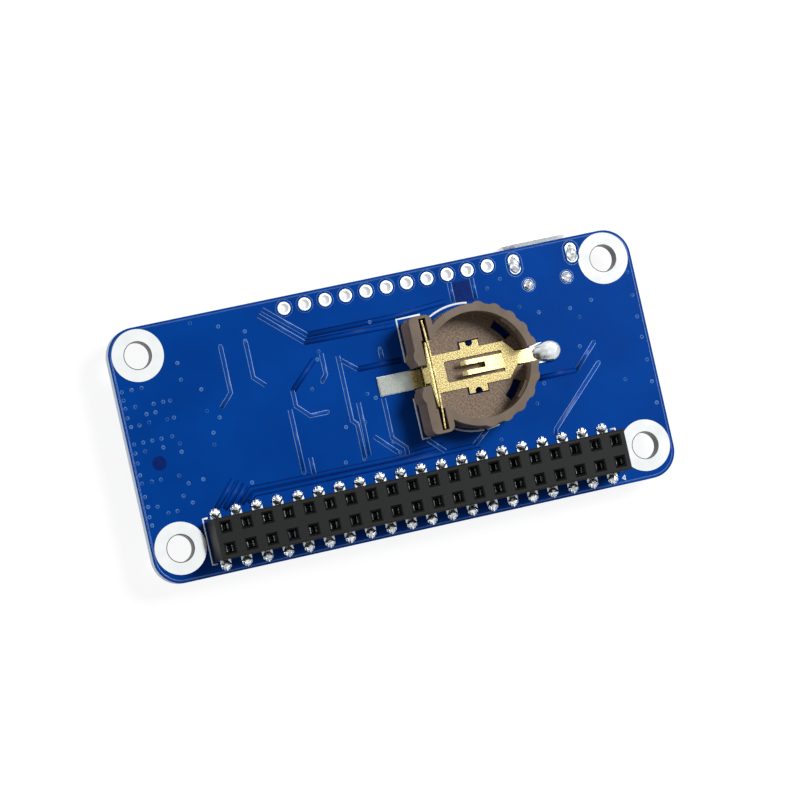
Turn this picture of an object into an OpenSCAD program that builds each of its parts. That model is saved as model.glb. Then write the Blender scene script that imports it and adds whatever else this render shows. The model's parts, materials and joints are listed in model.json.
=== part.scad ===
// Satellite positioning receiver on an add-on circuit board, lying with its parts side down.
// The pin socket and the backup cell holder face up.
// Origin: middle of the four mounting holes, on the face that carries the socket.
// X runs along the board, Y runs from the socket towards the data port, Z points up.

/* [Mounting holes] */
// Distance between the mounting holes along the board
hole_sx = 58; // [58:0.5:75]
// Distance between the mounting holes across the board
hole_sy = 23; // [23:0.5:40]
// Diameter of a mounting hole inside its plating
hole_d = 3.2; // [2.2:0.1:3.6]
// Diameter of the tinned ring round a mounting hole
ring_d = 6.2; // [5:0.1:6.6]

/* [Board] */
// From the mounting holes to the short edges
side_margin = 3.5; // [3.4:0.1:8]
// From the upper mounting holes to the upper edge
top_margin = 3.35; // [3.35:0.05:6]
// From the lower mounting holes to the lower edge
bottom_margin = 4.05; // [4:0.05:8]
// Radius of the board's corners
corner_r = 3.3; // [0.5:0.1:3.8]
// Thickness of the laminate
board_t = 1.6; // [0.8:0.1:2.4]
// Thickness of the tinned copper on the faces and in the holes
copper_t = 0.05; // [0.03:0.01:0.1]

/* [Row of open holes] */
// Number of open holes
row_count = 11; // [2:1:11]
// Diameter of an open hole inside its plating
row_bore = 1.1; // [0.7:0.05:1.2]
// Diameter of the tinned land round an open hole
row_land = 1.75; // [1.45:0.05:1.9]
// From the row to the upper edge
row_inset = 1.42; // [1.2:0.02:1.8]
// Middle of the row along the board
row_x = 2.02; // [-6:0.02:2.5]

/* [Pin socket] */
// Distance between neighbouring pins
pitch = 2.54; // [2.4:0.01:2.54]
// Number of pin columns
columns = 20; // [4:1:20]
// Width of the socket moulding
socket_w = 4.9; // [4.6:0.1:5.4]
// Height of the socket above the board
socket_h = 4.6; // [4:0.1:8.5]
// Height of the feet that lift the moulding off the board
socket_stand = 0.4; // [0.35:0.05:0.8]
// Diameter of a foot
socket_foot_d = 0.9; // [0.6:0.1:1.2]
// Thickness of the roof over the contacts
socket_roof = 0.7; // [0.5:0.05:1]
// Chamfer along the upper edges of the moulding
socket_chamfer = 0.15; // [0.05:0.05:0.3]
// Width of a pin's square entry
entry_w = 0.95; // [0.8:0.05:1.1]
// Width of the funnel at the mouth of an entry
funnel_w = 1.45; // [1.2:0.05:1.7]
// Depth of the funnel
funnel_depth = 0.35; // [0.2:0.05:0.45]

/* [Socket contacts] */
// Width of a contact's fork at its root
fork_w = 0.94; // [0.8:0.02:1.1]
// Depth of a contact's leaves across the socket
fork_depth = 0.7; // [0.5:0.05:0.9]
// Thickness of the contact's sheet metal
leaf_t = 0.17; // [0.12:0.01:0.2]
// Height over which the leaves stand upright
fork_upright = 1; // [0.6:0.1:1.4]
// Gap between the leaves where they pinch the pin
pinch_gap = 0.44; // [0.3:0.02:0.5]
// Gap between the flared tips of the leaves
tip_gap = 0.56; // [0.5:0.02:0.6]
// Distance between the pinch and the tips
tip_rise = 0.55; // [0.3:0.05:0.7]
// Clearance round a contact in the moulding
contact_gap = 0.1; // [0.05:0.01:0.15]
// Width of the soldered lead
lead_w = 0.62; // [0.4:0.02:0.7]
// How far the lead stands out past the moulding
lead_reach = 1; // [0.8:0.05:1.3]
// Width of a solder lump on a lead
lump_w = 1.2; // [0.9:0.02:1.3]
// Height of a solder lump
lump_h = 0.44; // [0.35:0.02:0.47]
// How far a solder lump runs on past the lead's end
lump_over = 0.16; // [0.1:0.02:0.2]
// How far a land runs on past its solder
land_over = 0.05; // [0.02:0.01:0.08]

/* [Cell holder] */
// Middle of the cell along the board
holder_x = 9.95; // [8:0.05:11]
// Middle of the cell across the board
holder_y = 2; // [1:0.05:3]
// Diameter of the coin cell
cell_d = 12.5; // [11.6:0.1:12.5]
// Clearance round the cell
cell_gap = 0.1; // [0.05:0.05:0.3]
// Height of the holder
holder_h = 4; // [3.4:0.1:5]
// Thickness of the floor under the cell
holder_floor = 0.9; // [0.7:0.05:1.2]
// Thickness of the rim between its grip lobes
rim_t = 0.92; // [0.8:0.02:1.2]
// How far the grip lobes stand out of the rim
lobe_rise = 0.26; // [0.1:0.02:0.4]
// Radius of a grip lobe
lobe_r = 0.95; // [0.7:0.05:1.1]
// Angle between neighbouring grip lobes
lobe_step = 16.8; // [15:0.1:20]
// Number of grip lobes
lobe_count = 11; // [5:1:11]
// Angle by which the grip lobes are turned away from the tail
lobe_turn = 6; // [2:0.5:8]
// Length of the terminal block across the board
block_w = 14.1; // [13.7:0.1:14.6]
// From the cell's edge to the outer face of the terminal block
block_reach = 1.05; // [1:0.05:1.5]
// From the cell's edge back to the shoulder of the terminal block
block_depth = 1.75; // [1.6:0.05:2]
// Radius of the terminal block's outer corners
block_r = 0.8; // [0.4:0.1:1]
// Radius of the round lips beside the tab
lip_r = 1.25; // [0.9:0.05:1.4]
// How far the lips stand out of the terminal block
lip_rise = 0.3; // [0.15:0.05:0.4]
// How far the snap hooks reach over the cell
hook_reach = 0.35; // [0.1:0.05:0.4]
// Angle from the tail of the cell contact to the middle of a hook
hook_angle = 39.5; // [37:0.5:44]
// Angle that a hook spans
hook_span = 21; // [14:1:24]
// Width of the open window under a hook
window_w = 1.05; // [0.8:0.05:1.2]
// Angle by which a window runs on past its hook on each side
window_over = 2; // [0:0.5:3]

/* [Cell contacts] */
// Thickness of the contact sheet
sheet_t = 0.22; // [0.15:0.01:0.26]
// Clearance beside a contact in the moulding
sheet_gap = 0.15; // [0.1:0.01:0.2]
// Length of the side blade across the cell
blade_l = 13.1; // [12.6:0.1:13.2]
// From the cell's edge in to the middle of the side blade
blade_bite = 0.85; // [0.75:0.05:0.95]
// Radius of the bow in the side blade
blade_bow_r = 90; // [75:1:150]
// Length of the side blade that stands free between its slots
blade_free = 8.2; // [7:0.1:8.6]
// Width of the slots that hold the side blade
blade_slot_w = 0.85; // [0.8:0.05:0.9]
// Gap behind the free part of the side blade
blade_room = 0.75; // [0.6:0.05:0.85]
// Width of the soldered tab of the side blade
tab_w = 2.2; // [1.6:0.1:2.4]
// How far the tab stands out of the terminal block
tab_reach = 4.2; // [3:0.05:4.4]
// Length of the floor plate along the board
floor_l = 10.2; // [9.8:0.1:10.4]
// Width of the floor plate
floor_w = 4.5; // [4.2:0.1:4.8]
// From the middle of the cell to the plate's end at the tail
floor_end = 5.45; // [5.2:0.05:5.5]
// Chamfer of the plate's corners at the tail
floor_chamfer = 1.25; // [0.8:0.05:1.4]
// Length of the window in the floor plate
slit_l = 7.25; // [6.6:0.05:7.4]
// Width of the window in the floor plate
slit_w = 2.56; // [2.4:0.02:2.7]
// From the plate's end at the tail to the root of the spring tongue
root_inset = 1.6; // [1.4:0.05:1.8]
// Length of the spring tongue
tongue_l = 5.5; // [4.8:0.1:5.8]
// Width of the spring tongue
tongue_w = 1.76; // [1.4:0.02:1.9]
// Height of the spring tongue's crest over the plate
tongue_rise = 1.05; // [0.6:0.05:1.3]
// Length of the down-turned nose of the tongue
nose_l = 0.8; // [0.5:0.05:1]
// How far the tip of the nose lies under the crest
nose_drop = 0.32; // [0.1:0.02:0.5]
// Length of the slot that forks the tongue
fork_slot_l = 3.05; // [2:0.05:3.5]
// Width of the slot that forks the tongue
fork_slot_w = 0.66; // [0.4:0.02:0.8]
// Middle of the ears, from the middle of the cell towards the tail
ear_mid = 0.1; // [-0.3:0.05:0.4]
// Width of an ear that clips the plate to the floor
ear_w = 2.3; // [2:0.05:2.5]
// How far an ear stands out of the plate
ear_l = 0.82; // [0.7:0.02:0.9]
// Diameter of the notch in an ear
ear_notch_d = 0.9; // [0.6:0.05:1]
// From the end of an ear to the middle of its notch
ear_notch_in = 0.15; // [0:0.05:0.2]
// Width of the tail of the floor plate
tail_w = 1.6; // [1.2:0.05:1.8]
// How far the tail stands out of the rim
tail_reach = 3.2; // [2.6:0.05:3.4]
// Width of the solder on the tail
tail_lump_w = 2.3; // [2.1:0.05:2.4]
// Height of the solder on the tail
tail_lump_h = 0.8; // [0.6:0.05:1]
// How far the solder runs on past the tail's end
tail_lump_over = 0.85; // [0.6:0.05:0.9]

/* [Data port] */
// Middle of the data port along the board
port_x = 21.65; // [20.5:0.05:21.7]
// Width of the port's shell
port_w = 7.5; // [7.3:0.1:7.8]
// Width of the shell on the board's side
port_narrow_w = 5.2; // [5:0.1:5.6]
// Height of the shell
port_h = 2.45; // [2.4:0.05:2.5]
// Height of the shell's slanted sides
port_slant_h = 0.75; // [0.5:0.05:0.9]
// Depth of the shell behind its flared mouth
port_l = 5; // [4.9:0.1:5.4]
// Thickness of the shell's sheet metal
port_t = 0.25; // [0.2:0.05:0.3]
// Length of the flared mouth
flare_l = 0.45; // [0.35:0.05:0.7]
// How far the mouth flares on each side
flare = 0.25; // [0.1:0.05:0.35]
// From the board's edge to the start of the flared mouth
port_edge_gap = 0.1; // [0.05:0.05:0.4]
// From the board's edge to the middle of the front legs
leg_inset = 1.9; // [1.8:0.05:2.2]
// Width of a front leg
leg_w = 1.2; // [0.8:0.1:1.3]
// Width of a latch window in the shell
latch_w = 1; // [0.6:0.1:1.4]
// Length of a latch window in the shell
latch_l = 1.4; // [0.8:0.1:2]
// How far legs and pegs stand out of the board
leg_out = 0.3; // [0.2:0.05:0.35]
// Distance between the rear pegs
peg_gap = 4.84; // [4.2:0.02:4.9]
// From the board's edge to the middle of the rear pegs
peg_inset = 4.64; // [4.5:0.02:4.7]
// Width of a rear peg
peg_w = 0.45; // [0.35:0.05:0.5]
// Clearance round legs and pegs in the board
leg_gap = 0.15; // [0.1:0.01:0.2]
// Width of the solder joint round legs and pegs beyond their hole
leg_lump = 0.38; // [0.3:0.02:0.42]
// Height of the solder joints of legs and pegs
leg_lump_h = 0.5; // [0.45:0.05:0.55]
// Width of the tongue inside the port
port_tongue_w = 3.7; // [3.5:0.05:3.9]
// Thickness of the tongue inside the port
port_tongue_t = 0.6; // [0.5:0.05:0.7]
// From the board to the middle of the tongue inside the port
tongue_drop = 1.37; // [1.3:0.05:1.5]
// Depth of the moulded block at the back of the port
port_block_l = 1.8; // [1.5:0.1:2.2]
// Distance between neighbouring port contacts
port_pitch = 0.65; // [0.6:0.01:0.68]
// Number of port contacts
port_contacts = 5; // [3:1:5]
// Width of a port contact
port_contact_w = 0.3; // [0.2:0.02:0.36]
// Thickness of a port contact
port_contact_t = 0.15; // [0.1:0.01:0.18]
// How far the port contacts' tails stand out of the block
port_tail = 0.8; // [0.6:0.05:1]

/* [Receiver] */
// Middle of the receiver along the board
receiver_x = -1; // [-3:0.1:0]
// Middle of the receiver across the board
receiver_y = -4.4; // [-5:0.1:-3]
// Length of the receiver's own board
receiver_l = 10.1; // [9.5:0.1:10.5]
// Width of the receiver's own board
receiver_w = 9.7; // [9.3:0.1:10.2]
// Thickness of the receiver's own board
receiver_t = 0.8; // [0.6:0.05:1]
// From the edge of the receiver's board to its can
can_inset = 0.55; // [0.45:0.05:0.8]
// Height of the receiver's can
can_h = 1.7; // [1.65:0.05:2.2]
// Thickness of the can's sheet metal
can_t = 0.2; // [0.15:0.05:0.3]
// Radius of the can's upright corners
can_r = 0.7; // [0.4:0.1:1]
// Number of soldered half holes on each side of the receiver
half_holes = 9; // [4:1:9]
// Distance between neighbouring half holes
half_hole_pitch = 1.1; // [1:0.02:1.12]
// Diameter of a half hole
half_hole_d = 0.6; // [0.4:0.05:0.7]
// How far the receiver's solder runs out from its edge
half_solder = 0.5; // [0.3:0.05:0.6]
// Height of the solder in a half hole
half_solder_h = 0.64; // [0.5:0.02:0.66]
// Height of the solder's fillet outside the receiver's edge
half_fillet_h = 0.48; // [0.3:0.02:0.48]

/* [Antenna jack] */
// Middle of the antenna jack along the board
jack_x = -28.4; // [-29:0.1:-27]
// Middle of the antenna jack across the board
jack_y = 0.5; // [-4:0.1:4]
// Width of the jack's square base
jack_base_w = 2.6; // [2.4:0.05:3]
// Thickness of the jack's base
jack_base_t = 0.35; // [0.3:0.05:0.5]
// Diameter of the jack's round shell
jack_d = 2; // [1.9:0.02:2.2]
// Thickness of the jack's shell
jack_t = 0.2; // [0.15:0.01:0.25]
// Height of the jack above the board
jack_h = 1.25; // [1.1:0.05:1.6]
// Diameter of the jack's pin
jack_pin_d = 0.5; // [0.4:0.02:0.6]
// How far the jack's soldered tabs stand out of the base
jack_tab = 0.4; // [0.3:0.05:0.6]
// Width of the jack's soldered tabs
jack_tab_w = 1.8; // [1.4:0.1:2.2]
// Depth of the snap groove round the shell
jack_groove = 0.06; // [0.03:0.01:0.08]

/* [Chips] */
// From the port's middle back to the middle of the data bridge chip
chip_back = 4.4; // [4:0.1:5]
// From the receiver up to the middle of the data bridge chip
chip_up = 6; // [5:0.1:7]
// Width of the data bridge chip
chip_w = 5; // [4:0.1:5.4]
// Height of the data bridge chip
chip_h = 0.85; // [0.7:0.05:1]
// Number of terminals on each side of the chip
chip_pins = 7; // [4:1:7]
// Distance between neighbouring chip terminals
chip_pitch = 0.5; // [0.4:0.02:0.52]
// Width of a chip terminal
chip_pin_w = 0.24; // [0.18:0.01:0.28]
// Length of a chip terminal
chip_pin_l = 0.42; // [0.3:0.02:0.5]
// Height of a chip terminal
chip_pin_h = 0.21; // [0.15:0.01:0.25]
// Diameter of the chip's index mark
mark_d = 0.5; // [0.3:0.05:0.8]
// From the chip's edges to the middle of its index mark
mark_inset = 0.6; // [0.5:0.05:0.9]
// From the receiver along to the middle of the regulator
reg_along = 10.6; // [9.5:0.1:11]
// From the receiver up to the middle of the regulator
reg_up = 11; // [10:0.1:12]
// Length of the regulator's body
reg_l = 2.9; // [2.6:0.1:3.1]
// Width of the regulator's body
reg_w = 1.6; // [1.4:0.1:1.8]
// Height of the regulator
reg_h = 1.1; // [0.9:0.05:1.3]
// How far the regulator's sides slope in
reg_draft = 0.1; // [0.05:0.01:0.15]
// Distance between neighbouring regulator leads
reg_pitch = 0.95; // [0.85:0.01:0.96]
// Width of a regulator lead
reg_lead_w = 0.4; // [0.3:0.02:0.45]
// How far a regulator lead stands out of the body
reg_lead_out = 0.6; // [0.5:0.05:0.7]
// Gap under the regulator's body
reg_stand = 0.1; // [0.08:0.01:0.15]
// Thickness of the regulator's leads
reg_lead_t = 0.15; // [0.1:0.01:0.2]

/* [Small chip parts] */
// Length of a resistor, capacitor or lamp
part_l = 1.6; // [1.4:0.05:1.8]
// Width of a resistor, capacitor or lamp
part_w = 0.8; // [0.6:0.05:1]
// Length of a soldered end cap
cap_l = 0.3; // [0.2:0.02:0.4]
// How far an end cap stands proud of its body
cap_proud = 0.02; // [0.01:0.01:0.03]
// Height of a resistor
resistor_h = 0.45; // [0.35:0.05:0.6]
// Height of a capacitor
capacitor_h = 0.8; // [0.6:0.05:1]
// Height of a lamp
lamp_h = 0.6; // [0.5:0.05:0.8]
// Thickness of a lamp's foot board
lamp_foot_t = 0.25; // [0.15:0.05:0.3]
// How far a lamp's sides slope in
lens_draft = 0.07; // [0.03:0.01:0.1]
// How far a small part's solder land stands out at its ends
part_land = 0.35; // [0.2:0.05:0.4]
// Number of status lamps
lamp_count = 4; // [1:1:4]
// Distance between neighbouring lamps
lamp_step = 2.8; // [2.2:0.1:3]
// First lamp along the board
lamp_x = -24; // [-24.5:0.1:-22.5]
// From the upper edge to the middle of the lamps
lamp_inset = 2.6; // [2.4:0.1:3]
// From the lamps to the middle of their resistors
lamp_resistor_drop = 2.9; // [2.8:0.1:3.6]
// Distance between the other small parts in a row
part_step = 2.1; // [1.9:0.05:2.3]

/* [Hidden] */

// Facets asked for on large and small rounds
fine = 96;
coarse = 32;
// Length by which a cut runs on past a face
over = 1;

board_l = hole_sx + 2 * side_margin;
board_w = hole_sy + top_margin + bottom_margin;
top_edge = hole_sy / 2 + top_margin;
board_y = (top_margin - bottom_margin) / 2;
row_y = top_edge - row_inset;

socket_l = columns * pitch;
socket_y = -hole_sy / 2;
chamber_x = fork_w + 2 * contact_gap;
chamber_y = fork_depth + 2 * contact_gap;
chamber_top = socket_h - socket_roof;
lead_end = socket_w / 2 + lead_reach;
lump_end = lead_end + lump_over;

cell_r = cell_d / 2;
pocket_r = cell_r + cell_gap;
rim_r = pocket_r + rim_t;
block_x = cell_r + block_reach;
blade_x = -(cell_r - blade_bite);
tab_end = -(block_x + tab_reach);
tail_end = rim_r + tail_reach;
tail_lump_start = rim_r + lobe_rise + sheet_gap;
tail_lump_l = tail_end + tail_lump_over - tail_lump_start;
floor_top = holder_floor + sheet_t;
tongue_root = floor_end - root_inset;
tongue_tip = tongue_root - tongue_l;
slit_mid = tongue_root - slit_l / 2;

port_front = top_edge + port_edge_gap + flare_l;
port_back = port_front - flare_l - port_l;
leg_x = (port_w - port_t) / 2;
leg_y = top_edge - leg_inset;
peg_y = top_edge - peg_inset;
slot_w = port_t + 2 * leg_gap;
slot_l = leg_w + 2 * leg_gap + slot_w / 2;
peg_hole_d = peg_w * sqrt(2) + 2 * leg_gap;

chip_x = port_x - chip_back;
chip_y = receiver_y + chip_up;
reg_x = receiver_x + reg_along;
reg_y = receiver_y + reg_up;
lamp_y = top_edge - lamp_inset;
lamp_resistor_y = lamp_y - lamp_resistor_drop;

// Rectangle with round corners
module rounded_rect(l, w, r) {
    square([l - 2 * r, w], center = true);
    square([l, w - 2 * r], center = true);
    for (sx = [-1, 1], sy = [-1, 1])
        translate([sx * (l / 2 - r), sy * (w / 2 - r)])
            circle(r = r, $fn = fine);
}

// Slot with round ends, long side along Y
module slot(l, w) {
    square([w, l - w], center = true);
    for (s = [-1, 1])
        translate([0, s * (l - w) / 2])
            circle(d = w, $fn = coarse);
}

// Profile drawn in X and Z, carried along Y
module along_y(l) {
    rotate([90, 0, 0])
        linear_extrude(l, center = true)
            children();
}

// Profile drawn in Y and Z, carried along X
module along_x(l) {
    rotate([90, 0, 90])
        linear_extrude(l, center = true)
            children();
}

// Puts a piece on the parts side of the board, with its own Z pointing away from the board
module below() {
    translate([0, 0, -board_t])
        mirror([0, 0, 1])
            children();
}

// Solder lump on a land at z = 0, of width w and height h, from y = 0 to a round end at y = l
module lump(w, h, l) {
    r = (w * w / 4 + h * h) / (2 * h);
    shaft = l - w / 2;
    intersection() {
        translate([0, 0, h - r])
            rotate([-90, 0, 0])
                rotate_extrude($fn = coarse)
                    intersection() {
                        union() {
                            square([r, shaft]);
                            translate([0, shaft])
                                circle(r = r, $fn = coarse);
                        }
                        square([r, shaft + r]);
                    }
        translate([-w, 0, 0])
            cube([2 * w, l + w, 2 * h]);
    }
}

// Outline of a lump's land, from y = 0 to a round end at y = l
module lump_land(w, l) {
    translate([-w / 2, 0])
        square([w, l - w / 2]);
    translate([0, l - w / 2])
        circle(d = w, $fn = coarse);
}

// Round solder dome on a land at z = 0
module dome(w, h) {
    r = (w * w / 4 + h * h) / (2 * h);
    intersection() {
        translate([0, 0, h - r])
            sphere(r = r, $fn = coarse);
        translate([-w, -w, 0])
            cube([2 * w, 2 * w, 2 * h]);
    }
}

// Plated hole: a barrel with a land on both faces of the board
module plated_hole(bore, land) {
    wall = bore / 2 + copper_t;
    rotate_extrude($fn = fine)
        polygon([
            [bore / 2, -board_t - copper_t],
            [land / 2, -board_t - copper_t],
            [land / 2, -board_t],
            [wall, -board_t],
            [wall, 0],
            [land / 2, 0],
            [land / 2, copper_t],
            [bore / 2, copper_t]
        ]);
}

module at_mounting_holes() {
    for (sx = [-1, 1], sy = [-1, 1])
        translate([sx * hole_sx / 2, sy * hole_sy / 2])
            children();
}

module at_open_holes() {
    for (i = [0 : row_count - 1])
        translate([row_x + (i - (row_count - 1) / 2) * pitch, row_y])
            children();
}

module at_legs() {
    for (s = [-1, 1])
        translate([port_x + s * leg_x, leg_y])
            children();
}

module at_pegs() {
    for (s = [-1, 1])
        translate([port_x + s * peg_gap / 2, peg_y])
            children();
}

module at_columns() {
    for (i = [0 : columns - 1])
        translate([(i - (columns - 1) / 2) * pitch, 0])
            children();
}

module at_holder() {
    translate([holder_x, holder_y])
        children();
}

module circuit_board() {
    color("#0a3d91")
        translate([0, 0, -board_t])
            linear_extrude(board_t)
                difference() {
                    translate([0, board_y])
                        rounded_rect(board_l, board_w, corner_r);
                    at_mounting_holes()
                        circle(d = hole_d + 2 * copper_t, $fn = fine);
                    at_open_holes()
                        circle(d = row_bore + 2 * copper_t, $fn = fine);
                    at_legs()
                        slot(slot_l, slot_w);
                    at_pegs()
                        circle(d = peg_hole_d, $fn = coarse);
                }
}

module mounting_rings() {
    color("#f0f4f5")
        at_mounting_holes()
            plated_hole(hole_d, ring_d);
}

module open_hole_plating() {
    color("#e4e8ea")
        at_open_holes()
            plated_hole(row_bore, row_land);
}

// Tinned lands on the socket side, under everything that is soldered there
module upper_lands() {
    color("#c9ced0")
        linear_extrude(copper_t) {
            translate([0, socket_y])
                for (s = [0, 1])
                    mirror([0, s])
                        at_columns()
                            translate([0, socket_w / 2])
                                lump_land(lump_w + 2 * land_over, lump_end - socket_w / 2 + land_over);
            at_holder() {
                translate([tab_end - land_over, -tab_w / 2 - land_over])
                    square([tab_reach, tab_w + 2 * land_over]);
                translate([tail_lump_start, 0])
                    rotate(-90)
                        lump_land(tail_lump_w + 2 * land_over, tail_lump_l + land_over);
            }
            at_legs()
                difference() {
                    slot(slot_l + 2 * leg_lump, slot_w + 2 * leg_lump);
                    slot(slot_l, slot_w);
                }
            at_pegs()
                difference() {
                    circle(d = peg_hole_d + leg_lump, $fn = coarse);
                    circle(d = peg_hole_d, $fn = coarse);
                }
        }
}

// Section of the socket moulding with its chamfered upper edges
module socket_section(w) {
    polygon([
        [-w / 2, socket_stand],
        [w / 2, socket_stand],
        [w / 2, socket_h - socket_chamfer],
        [w / 2 - socket_chamfer, socket_h],
        [-w / 2 + socket_chamfer, socket_h],
        [-w / 2, socket_h - socket_chamfer]
    ]);
}

// Section of one funnel at the mouth of a pin entry
module funnel_section() {
    polygon([
        [-entry_w / 2, socket_h - funnel_depth],
        [entry_w / 2, socket_h - funnel_depth],
        [funnel_w / 2, socket_h],
        [funnel_w / 2, socket_h + over],
        [-funnel_w / 2, socket_h + over],
        [-funnel_w / 2, socket_h]
    ]);
}

module at_cells() {
    for (s = [-1, 1])
        translate([0, s * pitch / 2])
            at_columns()
                children();
}

module socket_housing() {
    color("#262a29")
        translate([0, socket_y, 0]) {
            difference() {
                intersection() {
                    along_y(socket_w)
                        socket_section(socket_l);
                    along_x(socket_l)
                        socket_section(socket_w);
                }
                linear_extrude(chamber_top)
                    at_cells()
                        square([chamber_x, chamber_y], center = true);
                linear_extrude(socket_h + over)
                    at_cells()
                        square(entry_w, center = true);
                intersection() {
                    along_y(socket_w)
                        at_columns()
                            funnel_section();
                    along_x(socket_l)
                        for (s = [-1, 1])
                            translate([s * pitch / 2, 0])
                                funnel_section();
                }
            }
            for (i = [-1 : 1])
                translate([i * (columns / 2 - 1) * pitch, 0, 0])
                    cylinder(d = socket_foot_d, h = socket_stand, $fn = coarse);
        }
}

// Fork of one contact, seen along the board's width: two leaves on a common root
module fork_section() {
    root = copper_t;
    tip = chamber_top - contact_gap;
    pinch = tip - tip_rise;
    leaf = [
        [fork_w / 2, root],
        [fork_w / 2, root + fork_upright],
        [pinch_gap / 2 + leaf_t, pinch],
        [tip_gap / 2 + leaf_t, tip],
        [tip_gap / 2, tip],
        [pinch_gap / 2, pinch],
        [fork_w / 2 - leaf_t, root + fork_upright],
        [fork_w / 2 - leaf_t, root + leaf_t]
    ];
    last = len(leaf) - 1;
    polygon(concat(leaf, [for (i = [0 : last]) [-leaf[last - i][0], leaf[last - i][1]]]));
}

// Lead of one contact, from under its fork out past the moulding
module contact_lead() {
    translate([-lead_w / 2, pitch / 2, copper_t])
        cube([lead_w, lead_end - pitch / 2, leaf_t]);
}

module socket_contacts(side) {
    color("#d8c98f")
        translate([0, socket_y, 0])
            mirror([0, side < 0 ? 1 : 0, 0])
                at_columns()
                    union() {
                        translate([0, pitch / 2, 0])
                            along_y(fork_depth)
                                fork_section();
                        contact_lead();
                    }
}

module socket_contacts_inner() {
    socket_contacts(1);
}

module socket_contacts_outer() {
    socket_contacts(-1);
}

module socket_solder() {
    color("#dfe3e6")
        translate([0, socket_y, 0])
            for (side = [0, 1])
                mirror([0, side, 0])
                    at_columns()
                        difference() {
                            translate([0, socket_w / 2, copper_t])
                                lump(lump_w, lump_h, lump_end - socket_w / 2);
                            contact_lead();
                        }
}

// Outline of the holder: a rim with grip lobes, and the block that takes the side blade
module holder_outline() {
    first = -(lobe_count - 1) / 2 * lobe_step - lobe_turn;
    circle(r = rim_r, $fn = fine);
    for (k = [0 : lobe_count - 1])
        rotate(first + k * lobe_step)
            translate([rim_r + lobe_rise - lobe_r, 0])
                circle(r = lobe_r, $fn = coarse);
    translate([-(block_x + cell_r - block_depth) / 2, 0])
        rounded_rect(block_x - cell_r + block_depth, block_w, block_r);
    for (s = [-1, 1])
        translate([lip_r - block_x - lip_rise, s * (tab_w / 2 + lip_r)])
            circle(r = lip_r, $fn = coarse);
}

// Open window in the floor under a snap hook
module hook_window() {
    reach = pocket_r * 2;
    half = hook_span / 2 + window_over;
    intersection() {
        difference() {
            circle(r = cell_r, $fn = fine);
            circle(r = cell_r - window_w, $fn = fine);
        }
        polygon([[0, 0], [reach * cos(half), -reach * sin(half)], [reach * cos(half), reach * sin(half)]]);
    }
}

module cell_holder() {
    slot_x = blade_x + (sheet_t + sheet_gap) / 2 - blade_slot_w;
    room_x = blade_x - sheet_t / 2 - blade_room;
    lip_x = -block_x - lip_rise - over;
    tail_gap = tail_w + 2 * sheet_gap;
    tab_gap = tab_w + 2 * sheet_gap;
    ear_gap = ear_w + 2 * sheet_gap;
    ear_out = floor_w + 2 * ear_l + 2 * sheet_gap;
    color("#7d6e60")
        at_holder() {
            difference() {
                linear_extrude(holder_h)
                    holder_outline();
                translate([0, 0, holder_floor])
                    cylinder(r = pocket_r, h = holder_h, $fn = fine);
                translate([room_x, -blade_free / 2, holder_floor])
                    cube([cell_r, blade_free, holder_h]);
                translate([slot_x, -blade_l / 2 - sheet_gap, holder_floor])
                    cube([blade_slot_w, blade_l + 2 * sheet_gap, holder_h]);
                translate([lip_x, -tab_gap / 2, -over])
                    cube([blade_x + sheet_t + sheet_gap - lip_x, tab_gap, holder_h + 2 * over]);
                translate([floor_end - sheet_gap, -tail_gap / 2, -over])
                    cube([rim_r, tail_gap, holder_h + 2 * over]);
                for (s = [-1, 1]) {
                    rotate(s * hook_angle)
                        translate([0, 0, -over])
                            linear_extrude(holder_floor + 2 * over)
                                hook_window();
                    translate([ear_mid, s * (floor_w + ear_out) / 4, holder_floor / 2])
                        cube([ear_gap, (ear_out - floor_w) / 2, holder_floor + 2 * over], center = true);
                }
            }
            for (s = [-1, 1])
                rotate(s * hook_angle - hook_span / 2)
                    rotate_extrude(angle = hook_span, $fn = fine)
                        polygon([
                            [pocket_r + rim_t / 4, holder_h - 3 * hook_reach],
                            [pocket_r - hook_reach, holder_h - 2 * hook_reach],
                            [pocket_r - hook_reach, holder_h - 1.5 * hook_reach],
                            [pocket_r + rim_t / 4, holder_h - hook_reach / 4]
                        ]);
        }
}

// Bowed blade beside the cell, with a flange behind its free part and a foot that becomes the soldered tab
module cell_side_contact() {
    blade_top = holder_h - 2 * sheet_gap;
    flange_x = blade_x - sheet_t / 2 - blade_room + sheet_gap / 2;
    color("#c9ad5d")
        at_holder() {
            intersection() {
                linear_extrude(holder_h)
                    translate([blade_x - blade_bow_r, 0])
                        difference() {
                            circle(r = blade_bow_r + sheet_t / 2, $fn = fine);
                            circle(r = blade_bow_r - sheet_t / 2, $fn = fine);
                        }
                translate([blade_x, 0, 0])
                    along_x(cell_r)
                        polygon([
                            [-tab_w / 2, copper_t],
                            [tab_w / 2, copper_t],
                            [tab_w / 2, holder_floor],
                            [blade_l / 2, holder_floor],
                            [blade_l / 2, blade_top],
                            [-blade_l / 2, blade_top],
                            [-blade_l / 2, holder_floor],
                            [-tab_w / 2, holder_floor]
                        ]);
            }
            translate([flange_x, sheet_gap - blade_free / 2, holder_floor])
                cube([blade_x - flange_x, blade_free - 2 * sheet_gap, sheet_t]);
            translate([tab_end, -tab_w / 2, copper_t])
                cube([blade_x - tab_end, tab_w, sheet_t]);
        }
}

// Ear that clips the floor plate to the floor, with a round notch between its two prongs
module ear() {
    difference() {
        translate([-ear_w / 2, -over / 2])
            square([ear_w, ear_l + over / 2]);
        translate([0, ear_l - ear_notch_in])
            circle(d = ear_notch_d, $fn = coarse);
    }
}

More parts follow.
